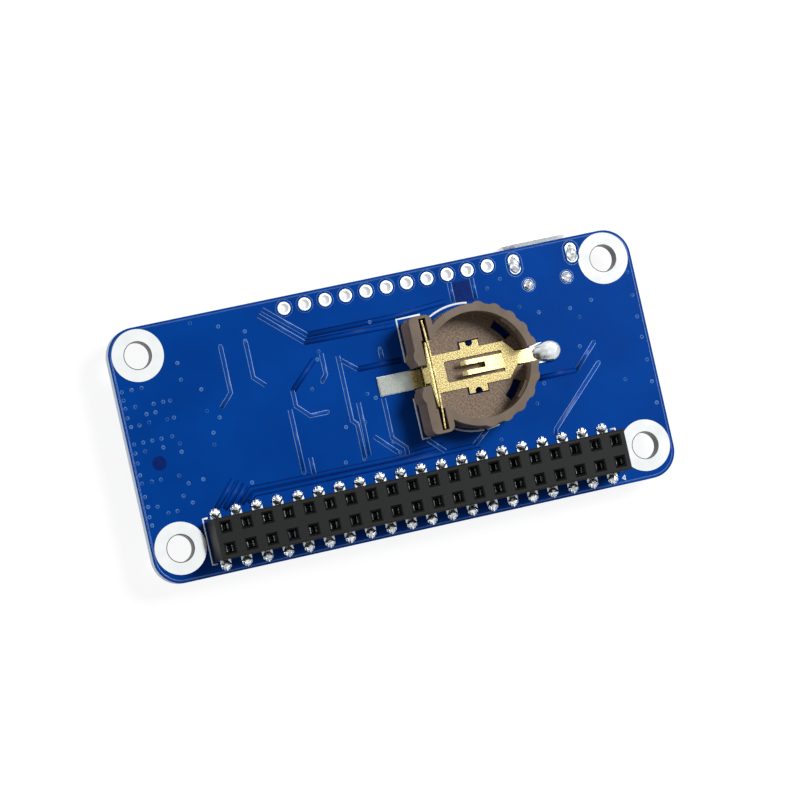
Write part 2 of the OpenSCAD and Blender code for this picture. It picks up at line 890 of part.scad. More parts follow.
// Flat outline of the floor plate
module floor_outline() {
    start = floor_end - floor_l;
    difference() {
        union() {
            polygon([
                [start, -floor_w / 2],
                [floor_end - floor_chamfer, -floor_w / 2],
                [floor_end, -tail_w / 2],
                [floor_end, tail_w / 2],
                [floor_end - floor_chamfer, floor_w / 2],
                [start, floor_w / 2]
            ]);
            for (s = [0, 1])
                mirror([0, s])
                    translate([ear_mid, floor_w / 2])
                        ear();
        }
        translate([slit_mid, 0])
            rounded_rect(slit_l, slit_w, (slit_w - tongue_w) / 4);
    }
}

// Tail of the floor plate, seen from the side: down through the rim and out over its land
module tail_section() {
    foot = copper_t;
    polygon([
        [floor_end - sheet_t, holder_floor],
        [floor_end + sheet_t, holder_floor],
        [rim_r - sheet_t, foot],
        [tail_end, foot],
        [tail_end, foot + sheet_t],
        [rim_r - sheet_t, foot + sheet_t],
        [floor_end + sheet_t, floor_top],
        [floor_end - sheet_t, floor_top]
    ]);
}

// Spring tongue seen from the side: up from the plate to a crest, then a down-turned nose
module tongue_section() {
    crest = tongue_tip + nose_l;
    polygon([
        [tongue_root + sheet_t, holder_floor],
        [tongue_root, holder_floor],
        [crest, holder_floor + tongue_rise],
        [tongue_tip, holder_floor + tongue_rise - nose_drop],
        [tongue_tip, floor_top + tongue_rise - nose_drop],
        [crest, floor_top + tongue_rise],
        [tongue_root, floor_top],
        [tongue_root + sheet_t, floor_top]
    ]);
}

module cell_floor_contact() {
    color("#cfb35e")
        at_holder() {
            translate([0, 0, holder_floor])
                linear_extrude(sheet_t)
                    floor_outline();
            difference() {
                along_y(tongue_w)
                    tongue_section();
                translate([tongue_tip - over, -fork_slot_w / 2, 0])
                    cube([fork_slot_l + over, fork_slot_w, holder_h]);
            }
            along_y(tail_w)
                tail_section();
        }
}

// Solder over the tail of the floor plate
module cell_contact_solder() {
    color("#e3e6e8")
        at_holder()
            difference() {
                translate([tail_lump_start, 0, copper_t])
                    rotate(-90)
                        lump(tail_lump_w, tail_lump_h, tail_lump_l);
                along_y(tail_w)
                    tail_section();
            }
}

// Section of the port's shell, grown outwards by a given width
module port_section(grow) {
    w = port_w / 2 + grow;
    n = port_narrow_w / 2 + grow;
    polygon([
        [-n, -grow],
        [n, -grow],
        [w, port_slant_h],
        [w, port_h + grow],
        [-w, port_h + grow],
        [-w, port_slant_h]
    ]);
}

// Flared mouth of the port, grown outwards by a given width
module port_flare(grow, length) {
    slice = 0.01;
    hull() {
        translate([0, slice / 2, 0])
            along_y(slice)
                port_section(grow);
        translate([0, length - slice / 2, 0])
            along_y(slice)
                port_section(grow + flare * length / flare_l);
    }
}

module data_port_shell() {
    tail_gap = (port_contacts - 1) * port_pitch + port_contact_w + 2 * leg_gap;
    color("#c3c5c6")
        below()
            translate([port_x, 0, 0]) {
                difference() {
                    translate([0, port_back + port_l / 2, 0])
                        along_y(port_l)
                            difference() {
                                port_section(0);
                                port_section(-port_t);
                            }
                    for (s = [-1, 1])
                        translate([s * port_w / 4, port_back + port_l / 2, port_h])
                            cube([latch_w, latch_l, 4 * port_t], center = true);
                    translate([0, port_back, 0])
                        cube([tail_gap, 4 * port_t, 4 * port_t], center = true);
                }
                translate([0, port_front - flare_l, 0])
                    difference() {
                        port_flare(0, flare_l);
                        translate([0, -flare_l / 2, 0])
                            port_flare(-port_t - flare / 2, 2 * flare_l);
                    }
                for (s = [-1, 1]) {
                    translate([s * leg_x - port_t / 2, leg_y - leg_w / 2, -board_t - leg_out])
                        cube([port_t, leg_w, board_t + leg_out + port_slant_h + port_t]);
                    translate([s * peg_gap / 2 - peg_w / 2, peg_y - peg_w / 2, -board_t - leg_out])
                        cube([peg_w, peg_w, board_t + leg_out + port_t]);
                }
            }
}

// One contact of the port, seen from the side: along the tongue, down behind the block and out to its land
module port_contact_section() {
    t = port_contact_t;
    tongue_face = tongue_drop - port_tongue_t / 2;
    polygon([
        [port_back - port_tail, copper_t],
        [port_back + port_t, copper_t],
        [port_back + port_t, tongue_face - t],
        [port_front - flare_l - port_t, tongue_face - t],
        [port_front - flare_l - port_t, tongue_face],
        [port_back + port_t - t, tongue_face],
        [port_back + port_t - t, copper_t + t],
        [port_back - port_tail, copper_t + t]
    ]);
}

module at_port_contacts() {
    for (i = [0 : port_contacts - 1])
        translate([port_x + (i - (port_contacts - 1) / 2) * port_pitch, 0, 0])
            children();
}

module port_contact_set() {
    at_port_contacts()
        along_x(port_contact_w)
            port_contact_section();
}

module data_port_contacts() {
    color("#d6bb62")
        below()
            port_contact_set();
}

module data_port_insulator() {
    tongue_end = port_front - flare_l;
    color("#26282a")
        below()
            difference() {
                translate([port_x, 0, 0]) {
                    translate([0, port_back + port_block_l / 2, 0])
                        along_y(port_block_l)
                            port_section(-port_t);
                    translate([-port_tongue_w / 2, port_back, tongue_drop - port_tongue_t / 2])
                        cube([port_tongue_w, tongue_end - port_back, port_tongue_t]);
                }
                port_contact_set();
                translate([port_x - port_contacts * port_pitch / 2, port_back - over, 0])
                    cube([
                        port_contacts * port_pitch,
                        over + port_t - port_contact_t,
                        tongue_drop - port_tongue_t / 2
                    ]);
            }
}

module data_port_solder() {
    color("#e1e5e8") {
        translate([0, 0, copper_t])
            difference() {
                union() {
                    at_legs()
                        for (s = [-1, 1])
                            rotate(s > 0 ? 0 : 180)
                                lump(slot_w + 2 * leg_lump, leg_lump_h, slot_l / 2 + leg_lump);
                    at_pegs()
                        dome(peg_hole_d + leg_lump, leg_lump_h);
                }
                at_legs()
                    cube([port_t, leg_w, 2 * (leg_out - copper_t)], center = true);
                at_pegs()
                    cube([peg_w, peg_w, 2 * (leg_out - copper_t)], center = true);
            }
    }
}

module at_half_holes() {
    for (s = [-1, 1], i = [0 : half_holes - 1])
        translate([s * receiver_w / 2, (i - (half_holes - 1) / 2) * half_hole_pitch])
            rotate(s < 0 ? 180 : 0)
                children();
}

module at_receiver() {
    below()
        translate([receiver_x, receiver_y, copper_t])
            children();
}

module receiver_board() {
    color("#1c5a3c")
        at_receiver()
            linear_extrude(receiver_t)
                difference() {
                    square([receiver_w, receiver_l], center = true);
                    at_half_holes()
                        circle(d = half_hole_d, $fn = coarse);
                }
}

module receiver_can() {
    w = receiver_w - 2 * can_inset;
    l = receiver_l - 2 * can_inset;
    color("#b9bdbf")
        at_receiver()
            translate([0, 0, receiver_t])
                difference() {
                    linear_extrude(can_h)
                        rounded_rect(w, l, can_r);
                    translate([0, 0, -over])
                        linear_extrude(can_h + over - can_t)
                            rounded_rect(w - 2 * can_t, l - 2 * can_t, can_r - can_t);
                }
}

// Solder in the half holes and out over the lands
module receiver_solder() {
    color("#d9dde0")
        at_receiver()
            at_half_holes() {
                cylinder(d = half_hole_d, h = half_solder_h, $fn = coarse);
                along_y(half_hole_d)
                    polygon([[0, 0], [half_solder, 0], [0, half_fillet_h]]);
            }
}

module at_jack() {
    below()
        translate([jack_x, jack_y, 0])
            children();
}

module antenna_jack_base() {
    color("#e8e2d2")
        at_jack()
            difference() {
                translate([0, 0, copper_t])
                    linear_extrude(jack_base_t)
                        square(jack_base_w, center = true);
                cylinder(d = jack_pin_d, h = jack_h, $fn = coarse);
            }
}

module antenna_jack_shell() {
    seat = copper_t + jack_base_t;
    inner = jack_d / 2 - jack_t;
    color("#d2b866")
        at_jack() {
            rotate_extrude($fn = fine)
                polygon([
                    [inner, seat],
                    [jack_d / 2, seat],
                    [jack_d / 2, jack_h - 2 * jack_t],
                    [jack_d / 2 - jack_groove, jack_h - 1.5 * jack_t],
                    [jack_d / 2, jack_h - jack_t],
                    [jack_d / 2 - jack_t / 2, jack_h],
                    [inner, jack_h]
                ]);
            for (s = [-1, 1])
                translate([s * (jack_base_w + jack_tab) / 2, 0, copper_t + jack_base_t / 4])
                    cube([jack_tab, jack_tab_w, jack_base_t / 2], center = true);
        }
}

module antenna_jack_pin() {
    color("#d9c070")
        at_jack() {
            translate([0, 0, copper_t])
                cylinder(d = jack_pin_d, h = jack_h - 1.5 * jack_t, $fn = coarse);
            translate([-jack_pin_d / 2, -jack_base_w / 2 - jack_tab, 0])
                cube([jack_pin_d, jack_base_w / 2 + jack_tab, copper_t]);
        }
}

module at_chip() {
    below()
        translate([chip_x, chip_y, copper_t])
            children();
}

// Terminals along the four edges of the bridge chip
module chip_terminal_set() {
    for (side = [0 : 3], i = [0 : chip_pins - 1])
        rotate(90 * side)
            translate([chip_w / 2 - chip_pin_l, (i - (chip_pins - 1) / 2) * chip_pitch - chip_pin_w / 2, 0])
                cube([chip_pin_l, chip_pin_w, chip_pin_h]);
}

module bridge_chip() {
    mark_out = chip_w / 2 - mark_inset;
    color("#2b2d2f")
        at_chip()
            difference() {
                linear_extrude(chip_h)
                    square(chip_w, center = true);
                chip_terminal_set();
                translate([-mark_out, mark_out, chip_h - copper_t])
                    cylinder(d = mark_d, h = over, $fn = coarse);
            }
}

module bridge_chip_terminals() {
    color("#cfd3d6")
        at_chip()
            chip_terminal_set();
}

module at_regulator() {
    below()
        translate([reg_x, reg_y, copper_t])
            children();
}

module regulator_body() {
    lead_z = reg_h / 2;
    w = reg_w / 2;
    color("#2a2c2e")
        at_regulator()
            along_x(reg_l)
                polygon([
                    [-w + reg_draft, reg_stand],
                    [w - reg_draft, reg_stand],
                    [w, lead_z],
                    [w - reg_draft, reg_h],
                    [-w + reg_draft, reg_h],
                    [-w, lead_z]
                ]);
}

// Gull-wing lead of the regulator, from the body's side down to its land
module reg_lead_section() {
    t = reg_lead_t;
    lead_z = reg_h / 2;
    knee = reg_w / 2 + reg_lead_out / 2;
    foot = reg_w / 2 + reg_lead_out;
    polygon([
        [reg_w / 2 - reg_draft, lead_z],
        [knee, lead_z],
        [knee, t],
        [foot, t],
        [foot, 0],
        [knee - t, 0],
        [knee - t, lead_z - t],
        [reg_w / 2 - reg_draft, lead_z - t]
    ]);
}

module at_regulator_leads() {
    for (i = [-1 : 1])
        translate([i * reg_pitch, 0, 0])
            children();
    for (i = [-1, 1])
        translate([i * reg_pitch, 0, 0])
            mirror([0, 1, 0])
                children();
}

module regulator_leads() {
    color("#cdd1d4")
        difference() {
            at_regulator()
                at_regulator_leads()
                    along_x(reg_lead_w)
                        reg_lead_section();
            regulator_body();
        }
}

// Places of the small parts: each child is laid along X, with the land's top at z = 0
module at_resistors() {
    below()
        translate([0, 0, copper_t]) {
            for (i = [0 : lamp_count - 1])
                translate([lamp_x + i * lamp_step, lamp_resistor_y, 0])
                    rotate(90)
                        children();
            for (i = [0 : 3])
                translate([receiver_x + receiver_w / 2 + part_step, receiver_y + (i - 2) * part_step, 0])
                    children();
            for (i = [0 : 2])
                translate([chip_x + (i - 1) * part_step, chip_y - chip_w / 2 - part_step, 0])
                    rotate(90)
                        children();
        }
}

module at_capacitors() {
    below()
        translate([0, 0, copper_t]) {
            for (i = [0 : 3])
                translate([receiver_x - receiver_w / 2 - part_step, receiver_y + (i - 1) * part_step, 0])
                    children();
            for (i = [0 : 2])
                translate([chip_x + chip_w / 2 + part_step, chip_y + (i - 1) * part_step, 0])
                    children();
            for (s = [-1, 1])
                translate([reg_x + s * (reg_l / 2 + part_step / 2 + part_w / 2), reg_y, 0])
                    rotate(90)
                        children();
            for (i = [0 : 1])
                translate([jack_x + jack_base_w / 2 + jack_tab + (i + 1) * part_step, jack_y, 0])
                    rotate(90)
                        children();
        }
}

module at_lamps() {
    below()
        translate([0, 0, copper_t])
            for (i = [0 : lamp_count - 1])
                translate([lamp_x + i * lamp_step, lamp_y, 0])
                    rotate(90)
                        children();
}

// Body of a small part between its two end caps
module part_body(h) {
    translate([-part_l / 2 + cap_l, -part_w / 2 + cap_proud, 0])
        cube([part_l - 2 * cap_l, part_w - 2 * cap_proud, h - cap_proud]);
}

module part_ends(h) {
    for (s = [-1, 1])
        translate([s * (part_l - cap_l) / 2, 0, h / 2])
            cube([cap_l, part_w, h], center = true);
}

module resistor_bodies() {
    color("#242526")
        at_resistors()
            part_body(resistor_h);
}

module resistor_ends() {
    color("#d4d7d9")
        at_resistors()
            part_ends(resistor_h);
}

module capacitor_bodies() {
    color("#a98460")
        at_capacitors()
            part_body(capacitor_h);
}

module capacitor_ends() {
    color("#d4d7d9")
        at_capacitors()
            part_ends(capacitor_h);
}

module status_lamp_feet() {
    color("#e9e6da")
        at_lamps()
            part_body(lamp_foot_t);
}

module status_lamp_lenses() {
    base = lamp_foot_t - cap_proud;
    half_w = part_w / 2 - cap_proud;
    color("#e8eedb")
        at_lamps()
            along_x(part_l - 2 * cap_l)
                polygon([
                    [-half_w, base],
                    [half_w, base],
                    [half_w - lens_draft, lamp_h],
                    [-half_w + lens_draft, lamp_h]
                ]);
}

module status_lamp_ends() {
    color("#d8c06c")
        at_lamps()
            part_ends(lamp_foot_t);
}

// Tinned lands on the parts side, under everything that is soldered there
module part_lands() {
    land_l = cap_l + part_land;
    for (s = [-1, 1])
        translate([s * (part_l / 2 + part_land - land_l / 2), 0, -copper_t / 2])
            cube([land_l, part_w + 2 * land_over, copper_t], center = true);
}

module lower_lands() {
    reg_land_w = reg_lead_w + 2 * land_over;
    reg_land_l = reg_lead_out / 2 + 2 * reg_lead_t;
    color("#cfd4d6") {
        at_resistors()
            part_lands();
        at_capacitors()
            part_lands();
        at_lamps()
            part_lands();
        at_regulator()
            at_regulator_leads()
                translate([0, reg_w / 2 + reg_lead_out * 3 / 4, -copper_t / 2])
                    cube([reg_land_w, reg_land_l, copper_t], center = true);
        at_receiver()
            at_half_holes()
                translate([0, 0, -copper_t / 2])
                    cube([2 * half_solder + land_over, half_hole_d + 2 * land_over, copper_t], center = true);
        at_jack()
            for (s = [-1, 1])
                translate([s * (jack_base_w + jack_tab) / 2, 0, copper_t / 2])
                    cube([2 * jack_tab, jack_tab_w + 2 * land_over, copper_t], center = true);
        at_chip()
            for (side = [0 : 3], i = [0 : chip_pins - 1])
                rotate(90 * side)
                    translate([chip_w / 2, (i - (chip_pins - 1) / 2) * chip_pitch, -copper_t / 2])
                        cube([2 * part_land, chip_pin_w + land_over, copper_t], center = true);
        below()
            at_port_contacts()
                translate([0, port_back - port_tail / 2 - part_land, copper_t / 2])
                    cube([port_contact_w + land_over, port_tail + part_land, copper_t], center = true);
    }
}

circuit_board();
mounting_rings();
open_hole_plating();
upper_lands();
socket_housing();
socket_contacts_inner();
socket_contacts_outer();
socket_solder();
cell_holder();
cell_side_contact();
cell_floor_contact();
cell_contact_solder();
data_port_shell();
data_port_insulator();
data_port_contacts();
data_port_solder();
receiver_board();
receiver_can();
receiver_solder();
antenna_jack_base();
antenna_jack_shell();
antenna_jack_pin();
bridge_chip();
bridge_chip_terminals();
regulator_body();
regulator_leads();
resistor_bodies();
resistor_ends();
capacitor_bodies();
capacitor_ends();
status_lamp_feet();
status_lamp_lenses();
status_lamp_ends();
lower_lands();
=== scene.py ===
"""Looks of a satellite positioning receiver board, lying with its parts side down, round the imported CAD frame."""
import json
import math

import bpy
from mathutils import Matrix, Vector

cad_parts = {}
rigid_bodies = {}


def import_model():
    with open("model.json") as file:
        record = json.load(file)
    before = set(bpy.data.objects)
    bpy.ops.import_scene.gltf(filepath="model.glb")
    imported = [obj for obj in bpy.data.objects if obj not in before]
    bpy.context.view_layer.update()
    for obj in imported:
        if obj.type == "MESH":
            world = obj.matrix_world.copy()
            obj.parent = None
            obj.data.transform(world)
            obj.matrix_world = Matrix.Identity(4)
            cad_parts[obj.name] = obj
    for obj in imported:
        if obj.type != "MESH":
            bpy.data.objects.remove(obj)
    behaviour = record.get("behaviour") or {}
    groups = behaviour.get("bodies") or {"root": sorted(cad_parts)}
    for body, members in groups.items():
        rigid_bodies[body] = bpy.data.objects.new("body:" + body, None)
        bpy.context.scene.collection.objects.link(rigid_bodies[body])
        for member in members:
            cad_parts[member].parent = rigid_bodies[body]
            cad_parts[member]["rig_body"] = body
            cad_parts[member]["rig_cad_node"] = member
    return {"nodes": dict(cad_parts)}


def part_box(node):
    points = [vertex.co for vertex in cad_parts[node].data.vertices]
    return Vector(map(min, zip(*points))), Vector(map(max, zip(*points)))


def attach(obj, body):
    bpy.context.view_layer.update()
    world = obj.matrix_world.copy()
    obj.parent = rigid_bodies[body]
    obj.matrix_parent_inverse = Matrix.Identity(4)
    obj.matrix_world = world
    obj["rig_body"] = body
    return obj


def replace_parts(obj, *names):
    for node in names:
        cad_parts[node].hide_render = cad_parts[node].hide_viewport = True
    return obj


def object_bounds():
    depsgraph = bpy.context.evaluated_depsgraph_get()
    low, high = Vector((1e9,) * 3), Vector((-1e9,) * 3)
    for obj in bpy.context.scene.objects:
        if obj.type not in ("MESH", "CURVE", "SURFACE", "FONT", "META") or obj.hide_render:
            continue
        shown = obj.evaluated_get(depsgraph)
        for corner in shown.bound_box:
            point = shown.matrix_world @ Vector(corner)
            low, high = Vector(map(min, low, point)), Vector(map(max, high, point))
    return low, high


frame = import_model()
NODES = frame["nodes"]
cad_low, cad_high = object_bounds()

MM = 0.001
# Faces of the board, from the CAD frame
BOARD_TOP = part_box("circuit_board")[1].z
BOARD_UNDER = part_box("circuit_board")[0].z
BOARD_MIDDLE = (BOARD_TOP + BOARD_UNDER) / 2
# Corner holes in mm: half the spacing each way, and the radius of the bore
HOLE_X = 29.0
HOLE_Y = 11.5
HOLE_R = 1.6
# Corners closer than this are welded
WELD = 0.001 * MM
# Faces that meet at less than this are shaded as one
SMOOTH_ANGLE = math.radians(40)
# Times that a modelled form is divided for its smooth skin
SKIN_LEVELS = 2


# Colour and node helpers

def linear(hex_colour):
    """An sRGB hex value as the linear colour that a shader takes."""
    def channel(value):
        return value / 12.92 if value <= 0.04045 else ((value + 0.055) / 1.055) ** 2.4
    return tuple(channel(int(hex_colour[i:i + 2], 16) / 255) for i in (1, 3, 5)) + (1.0,)


def finish(name, **sockets):
    """A new material, with plain numbers and colours set straight on its shader's sockets."""
    material = bpy.data.materials.new(name)
    material.use_nodes = True
    shader = material.node_tree.nodes["Principled BSDF"]
    for socket, value in sockets.items():
        shader.inputs[socket.replace("_", " ")].default_value = value
    return material, material.node_tree, shader


def add(tree, kind, settings=None, inputs=None):
    """One node, with its own settings, and its inputs set to values or linked from other nodes' outputs."""
    node = tree.nodes.new(kind)
    for field, value in (settings or {}).items():
        setattr(node, field, value)
    for key, value in (inputs or {}).items():
        socket = node.inputs[key] if isinstance(key, int) else next(
            s for s in node.inputs if key in (s.identifier, s.name))
        if isinstance(value, bpy.types.NodeSocket):
            tree.links.new(value, socket)
        else:
            socket.default_value = value
    return node


def calc(tree, operation, *values):
    """One step of arithmetic."""
    return add(tree, "ShaderNodeMath", {"operation": operation}, dict(enumerate(values))).outputs[0]


def calc_place(tree, operation, *values):
    """One step of arithmetic on places, with the outputs as a vector and as a value."""
    return add(tree, "ShaderNodeVectorMath", {"operation": operation}, dict(enumerate(values))).outputs


def own_place(tree):
    """Where a point lies in the piece's own coordinates, in metres."""
    return add(tree, "ShaderNodeTexCoord").outputs["Object"]


def split(tree, vector):
    """The X, Y and Z of a vector."""
    return add(tree, "ShaderNodeSeparateXYZ", None, {"Vector": vector}).outputs


def grain(tree, size_mm, detail=3.0):
    """Noise on the piece's own coordinates, with bumps about size_mm across."""
    return add(tree, "ShaderNodeTexNoise", None,
               {"Vector": own_place(tree), "Scale": 1 / (size_mm * MM), "Detail": detail}).outputs["Fac"]


def relief(tree, shader, height, depth_mm):
    """Bumps of depth_mm on a shader, from a height between 0 and 1."""
    bump = add(tree, "ShaderNodeBump", None, {"Height": height, "Distance": depth_mm * MM, "Strength": 1.0})
    tree.links.new(bump.outputs["Normal"], shader.inputs["Normal"])


def spread(tree, value, low, high, to_low, to_high):
    """Carries a value from one range to another, and holds it there."""
    return add(tree, "ShaderNodeMapRange", {"clamp": True},
               {"Value": value, "From Min": low, "From Max": high, "To Min": to_low, "To Max": to_high}).outputs[0]


def blend(tree, share, one, two):
    """A colour between two, by a share from 0 to 1."""
    return add(tree, "ShaderNodeMix", {"data_type": "RGBA"},
               {"Factor_Float": share, "A_Color": one, "B_Color": two}).outputs[2]


def mottled(tree, value, one, two, low=0.35, high=0.65):
    """A colour that goes from one hex value to another as a value goes from low to high."""
    return blend(tree, spread(tree, value, low, high, 0.0, 1.0), linear(one), linear(two))


def colour(tree, shader, value):
    """Links a shader's colour."""
    tree.links.new(value, shader.inputs["Base Color"])


def roughen(tree, shader, value):
    """Links a shader's roughness."""
    tree.links.new(value, shader.inputs["Roughness"])


def sloping(tree):
    """1 where the modelled face slopes, and 0 where it lies flat."""
    upright = split(tree, add(tree, "ShaderNodeNewGeometry").outputs["True Normal"])["Z"]
    return spread(tree, calc(tree, "ABSOLUTE", upright), 0.95, 0.99, 1.0, 0.0)


def seen_rays(tree):
    """1 for what is seen straight, mirrored or through something clear, and 0 for the light that falls on the part."""
    path = add(tree, "ShaderNodeLightPath").outputs
    return calc(tree, "MAXIMUM", calc(tree, "MAXIMUM", path["Is Camera Ray"], path["Is Glossy Ray"]),
                path["Is Transmission Ray"])


def one_grain_finish(name, size_mm, one, two, depth_mm, detail=3.0, reach=(0.35, 0.65), rough=None, **sockets):
    """A material whose colour, relief and, where given, roughness all follow one grain."""
    material, tree, shader = finish(name, **sockets)
    noise = grain(tree, size_mm, detail)
    colour(tree, shader, mottled(tree, noise, one, two, *reach))
    if rough:
        roughen(tree, shader, spread(tree, noise, 0.3, 0.7, *rough))
    relief(tree, shader, noise, depth_mm)
    return material


# Materials

def blue_printed_solder_mask():
    """Glossy blue epoxy mask, screen printed over glass laminate: an even deep blue with a faint orange-peel skin.
    Where the board was routed and drilled, the cut edge shows pale glass fibre and resin instead."""
    material, tree, shader = finish("blue_printed_solder_mask", IOR=1.5, Specular_IOR_Level=0.03)
    height = split(tree, own_place(tree))["Z"]
    depth = calc(tree, "ABSOLUTE", calc(tree, "SUBTRACT", height, BOARD_MIDDLE))
    half = (BOARD_TOP - BOARD_UNDER) / 2
    edge = spread(tree, depth, half - 0.04 * MM, half - 0.02 * MM, 1.0, 0.0)
    mask = mottled(tree, grain(tree, 9.0, 4.0), "#003b90", "#00429b")
    # The layers of glass cloth show as stripes along the cut edge
    layer = 0.2 * MM
    stripes = calc(tree, "SINE", calc(tree, "MULTIPLY", height, 2 * math.pi / layer))
    cut = mottled(tree, stripes, "#b4c6d2", "#e3ebed", -1.0, 1.0)
    fibre = spread(tree, grain(tree, 0.15, 5.0), 0.4, 0.6, 0.0, 0.5)
    cut = blend(tree, fibre, cut, linear("#a3b7c6"))
    colour(tree, shader, blend(tree, edge, mask, cut))
    roughen(tree, shader, spread(tree, edge, 0.0, 1.0, 0.3, 0.75))
    relief(tree, shader, grain(tree, 0.8, 2.0), 0.004)
    return material


def mask_over_copper():
    """The same mask where it runs over a track: it thins on the copper's shoulders and shows paler, and the shoulders
    are painted paler still as a painted highlight.
    """
    material, tree, shader = finish("mask_over_copper", Roughness=0.28, IOR=1.5, Specular_IOR_Level=0.1)
    top = mottled(tree, grain(tree, 9.0, 4.0), "#003d93", "#00449f")
    # The pale shoulders are partly the thin mask's own colour and partly a painted highlight
    colour(tree, shader, blend(tree, sloping(tree), top, linear("#93b8de")))
    relief(tree, shader, grain(tree, 0.5, 2.0), 0.003)
    return material


def mask_over_filled_hole():
    """The mask over a small filled hole: it hardly thins there, so the ring is only a little paler."""
    material, tree, shader = finish("mask_over_filled_hole", Roughness=0.3, IOR=1.5, Specular_IOR_Level=0.1)
    shoulder = mottled(tree, grain(tree, 1.4, 2.0), "#2d66b2", "#72a3d6", 0.4, 0.6)
    colour(tree, shader, blend(tree, sloping(tree), linear("#003d93"), shoulder))
    relief(tree, shader, grain(tree, 0.5, 2.0), 0.003)
    return material


def mask_thinned_on_the_rim():
    """The mask where it slopes down over the end of the copper near the cut edge: drawn out thin, paler and glassy."""
    return one_grain_finish("mask_thinned_on_the_rim", 2.0, "#0a4797", "#1c5aac", 0.003,
                            Roughness=0.3, IOR=1.5, Specular_IOR_Level=0.5)


def mask_over_bare_laminate():
    """The mask where the copper under it was etched away: it lies lower and looks a darker blue."""
    return one_grain_finish("mask_over_bare_laminate", 0.5, "#001f63", "#00276f", 0.004,
                            Roughness=0.34, IOR=1.5, Specular_IOR_Level=0.06)


def white_legend_ink():
    """White epoxy ink, screen printed: matt, slightly uneven at the scale of the screen's mesh."""
    return one_grain_finish("white_legend_ink", 0.12, "#e6edf1", "#f8fafb", 0.004, Roughness=0.6, IOR=1.5)


def hot_air_levelled_tin():
    """Copper dipped in molten tin and blown level: near-white metal, softly rippled, with dull patches."""
    return one_grain_finish("hot_air_levelled_tin", 1.1, "#c2c8ca", "#d6dbdc", 0.02, rough=(0.28, 0.44),
                            Metallic=1.0, Roughness=0.34)


def tin_round_a_drilled_hole():
    """The same tin on the corner rings. The air blows it off the drilled lip and leaves only a thin skin in the bore,
    so both stay dull; both are also painted dark, as painted shade in the hole."""
    material, tree, shader = finish("tin_round_a_drilled_hole", Metallic=1.0, Roughness=0.12)
    ripple = grain(tree, 1.6, 4.0)
    metal = mottled(tree, ripple, "#edf1f2", "#f4f6f6")
    # The four holes lie alike about the origin, so one corner stands for all
    folded = calc_place(tree, "ABSOLUTE", own_place(tree))[0]
    flat = calc_place(tree, "MULTIPLY", folded, (1.0, 1.0, 0.0))[0]
    away = calc_place(tree, "DISTANCE", flat, (HOLE_X * MM, HOLE_Y * MM, 0.0))["Value"]
    # Painted shade: the lip and the bore of each hole are darkened here, and also made duller
    bore = spread(tree, away, (HOLE_R + 0.06) * MM, (HOLE_R + 0.12) * MM, 1.0, 0.0)
    colour(tree, shader, blend(tree, bore, metal, linear("#303335")))
    roughen(tree, shader, calc(tree, "MAXIMUM", spread(tree, ripple, 0.3, 0.7, 0.1, 0.15),
                               spread(tree, bore, 0.0, 1.0, 0.0, 0.4)))
    relief(tree, shader, ripple, 0.006)
    return material


def reflowed_solder():
    """Small joints that melted and froze: mirror bright and lumpy, with patches of frost."""
    return one_grain_finish("reflowed_solder", 0.45, "#a9b0b5", "#f1f4f6", 0.06, detail=2.0, reach=(0.42, 0.6),
                            rough=(0.1, 0.26), Metallic=1.0, Roughness=0.16)


def hand_fed_solder():
    """A large joint fed by hand with an iron: smooth and bright, with slow waves where it froze last. In the hollow at
    the front of its neck, next to the holder, a dark streaked patch is painted on as a painted reflection of the
    holder's wall."""
    material, tree, shader = finish("hand_fed_solder", Metallic=1.0, Roughness=0.14)
    low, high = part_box("cell_contact_solder")
    wave = grain(tree, 1.5, 2.0)
    metal = mottled(tree, wave, "#c3c9cd", "#e9edef", 0.35, 0.6)
    place = split(tree, own_place(tree))
    hollow = (low.y + high.y) / 2 - 0.4 * MM
    aside = calc(tree, "ABSOLUTE", calc(tree, "SUBTRACT", place["Y"], hollow))
    # Painted reflection of the holder's brown wall: a dark, streaked patch over the front of the neck
    painted_wall_reflection = calc(tree, "MULTIPLY", spread(tree, place["X"], low.x + 1.2 * MM, low.x + 2.4 * MM, 1.0, 0.0),
                 spread(tree, aside, 0.3 * MM, 0.8 * MM, 1.0, 0.0))
    reflection_streaks = spread(tree, grain(tree, 0.7), 0.36, 0.56, 0.35, 1.0)
    colour(tree, shader, blend(tree, calc(tree, "MULTIPLY", painted_wall_reflection, reflection_streaks), metal, linear("#4d4a45")))
    roughen(tree, shader, spread(tree, wave, 0.3, 0.7, 0.08, 0.22))
    relief(tree, shader, wave, 0.1)
    return material


def black_glass_filled_nylon():
    """Glass-filled nylon from a spark-eroded mould: black with a grey sheen and a fine matt grain."""
    return one_grain_finish("black_glass_filled_nylon", 0.14, "#0c0d0d", "#171918", 0.012, detail=4.0,
                            rough=(0.42, 0.58), IOR=1.53, Specular_IOR_Level=0.14)


def gold_flashed_contact():
    """Stamped copper alloy with a thin gold flash: pale warm metal with drawn streaks."""
    return one_grain_finish("gold_flashed_contact", 0.3, "#cdb377", "#ecdcae", 0.01, Metallic=1.0, Roughness=0.24)


def tin_fork_painted_in_shade():
    """Fork contacts under matt tin, deep in their chambers: painted dark grey as painted shade, with a few bright
    drawn streaks.
    """
    material, tree, shader = finish("tin_fork_painted_in_shade", Metallic=1.0, Roughness=0.3)
    drawn = add(tree, "ShaderNodeMapping", None, {"Vector": own_place(tree), "Scale": (1.0, 1.0, 0.15)}).outputs[0]
    streak = add(tree, "ShaderNodeTexNoise", None, {"Vector": drawn, "Scale": 1 / (0.12 * MM)}).outputs["Fac"]
    # The dark grey is painted shade, both in the deep chambers and on the leads next to the housing
    colour(tree, shader, mottled(tree, streak, "#34363a", "#a9adab", 0.5, 0.68))
    relief(tree, shader, streak, 0.01)
    return material


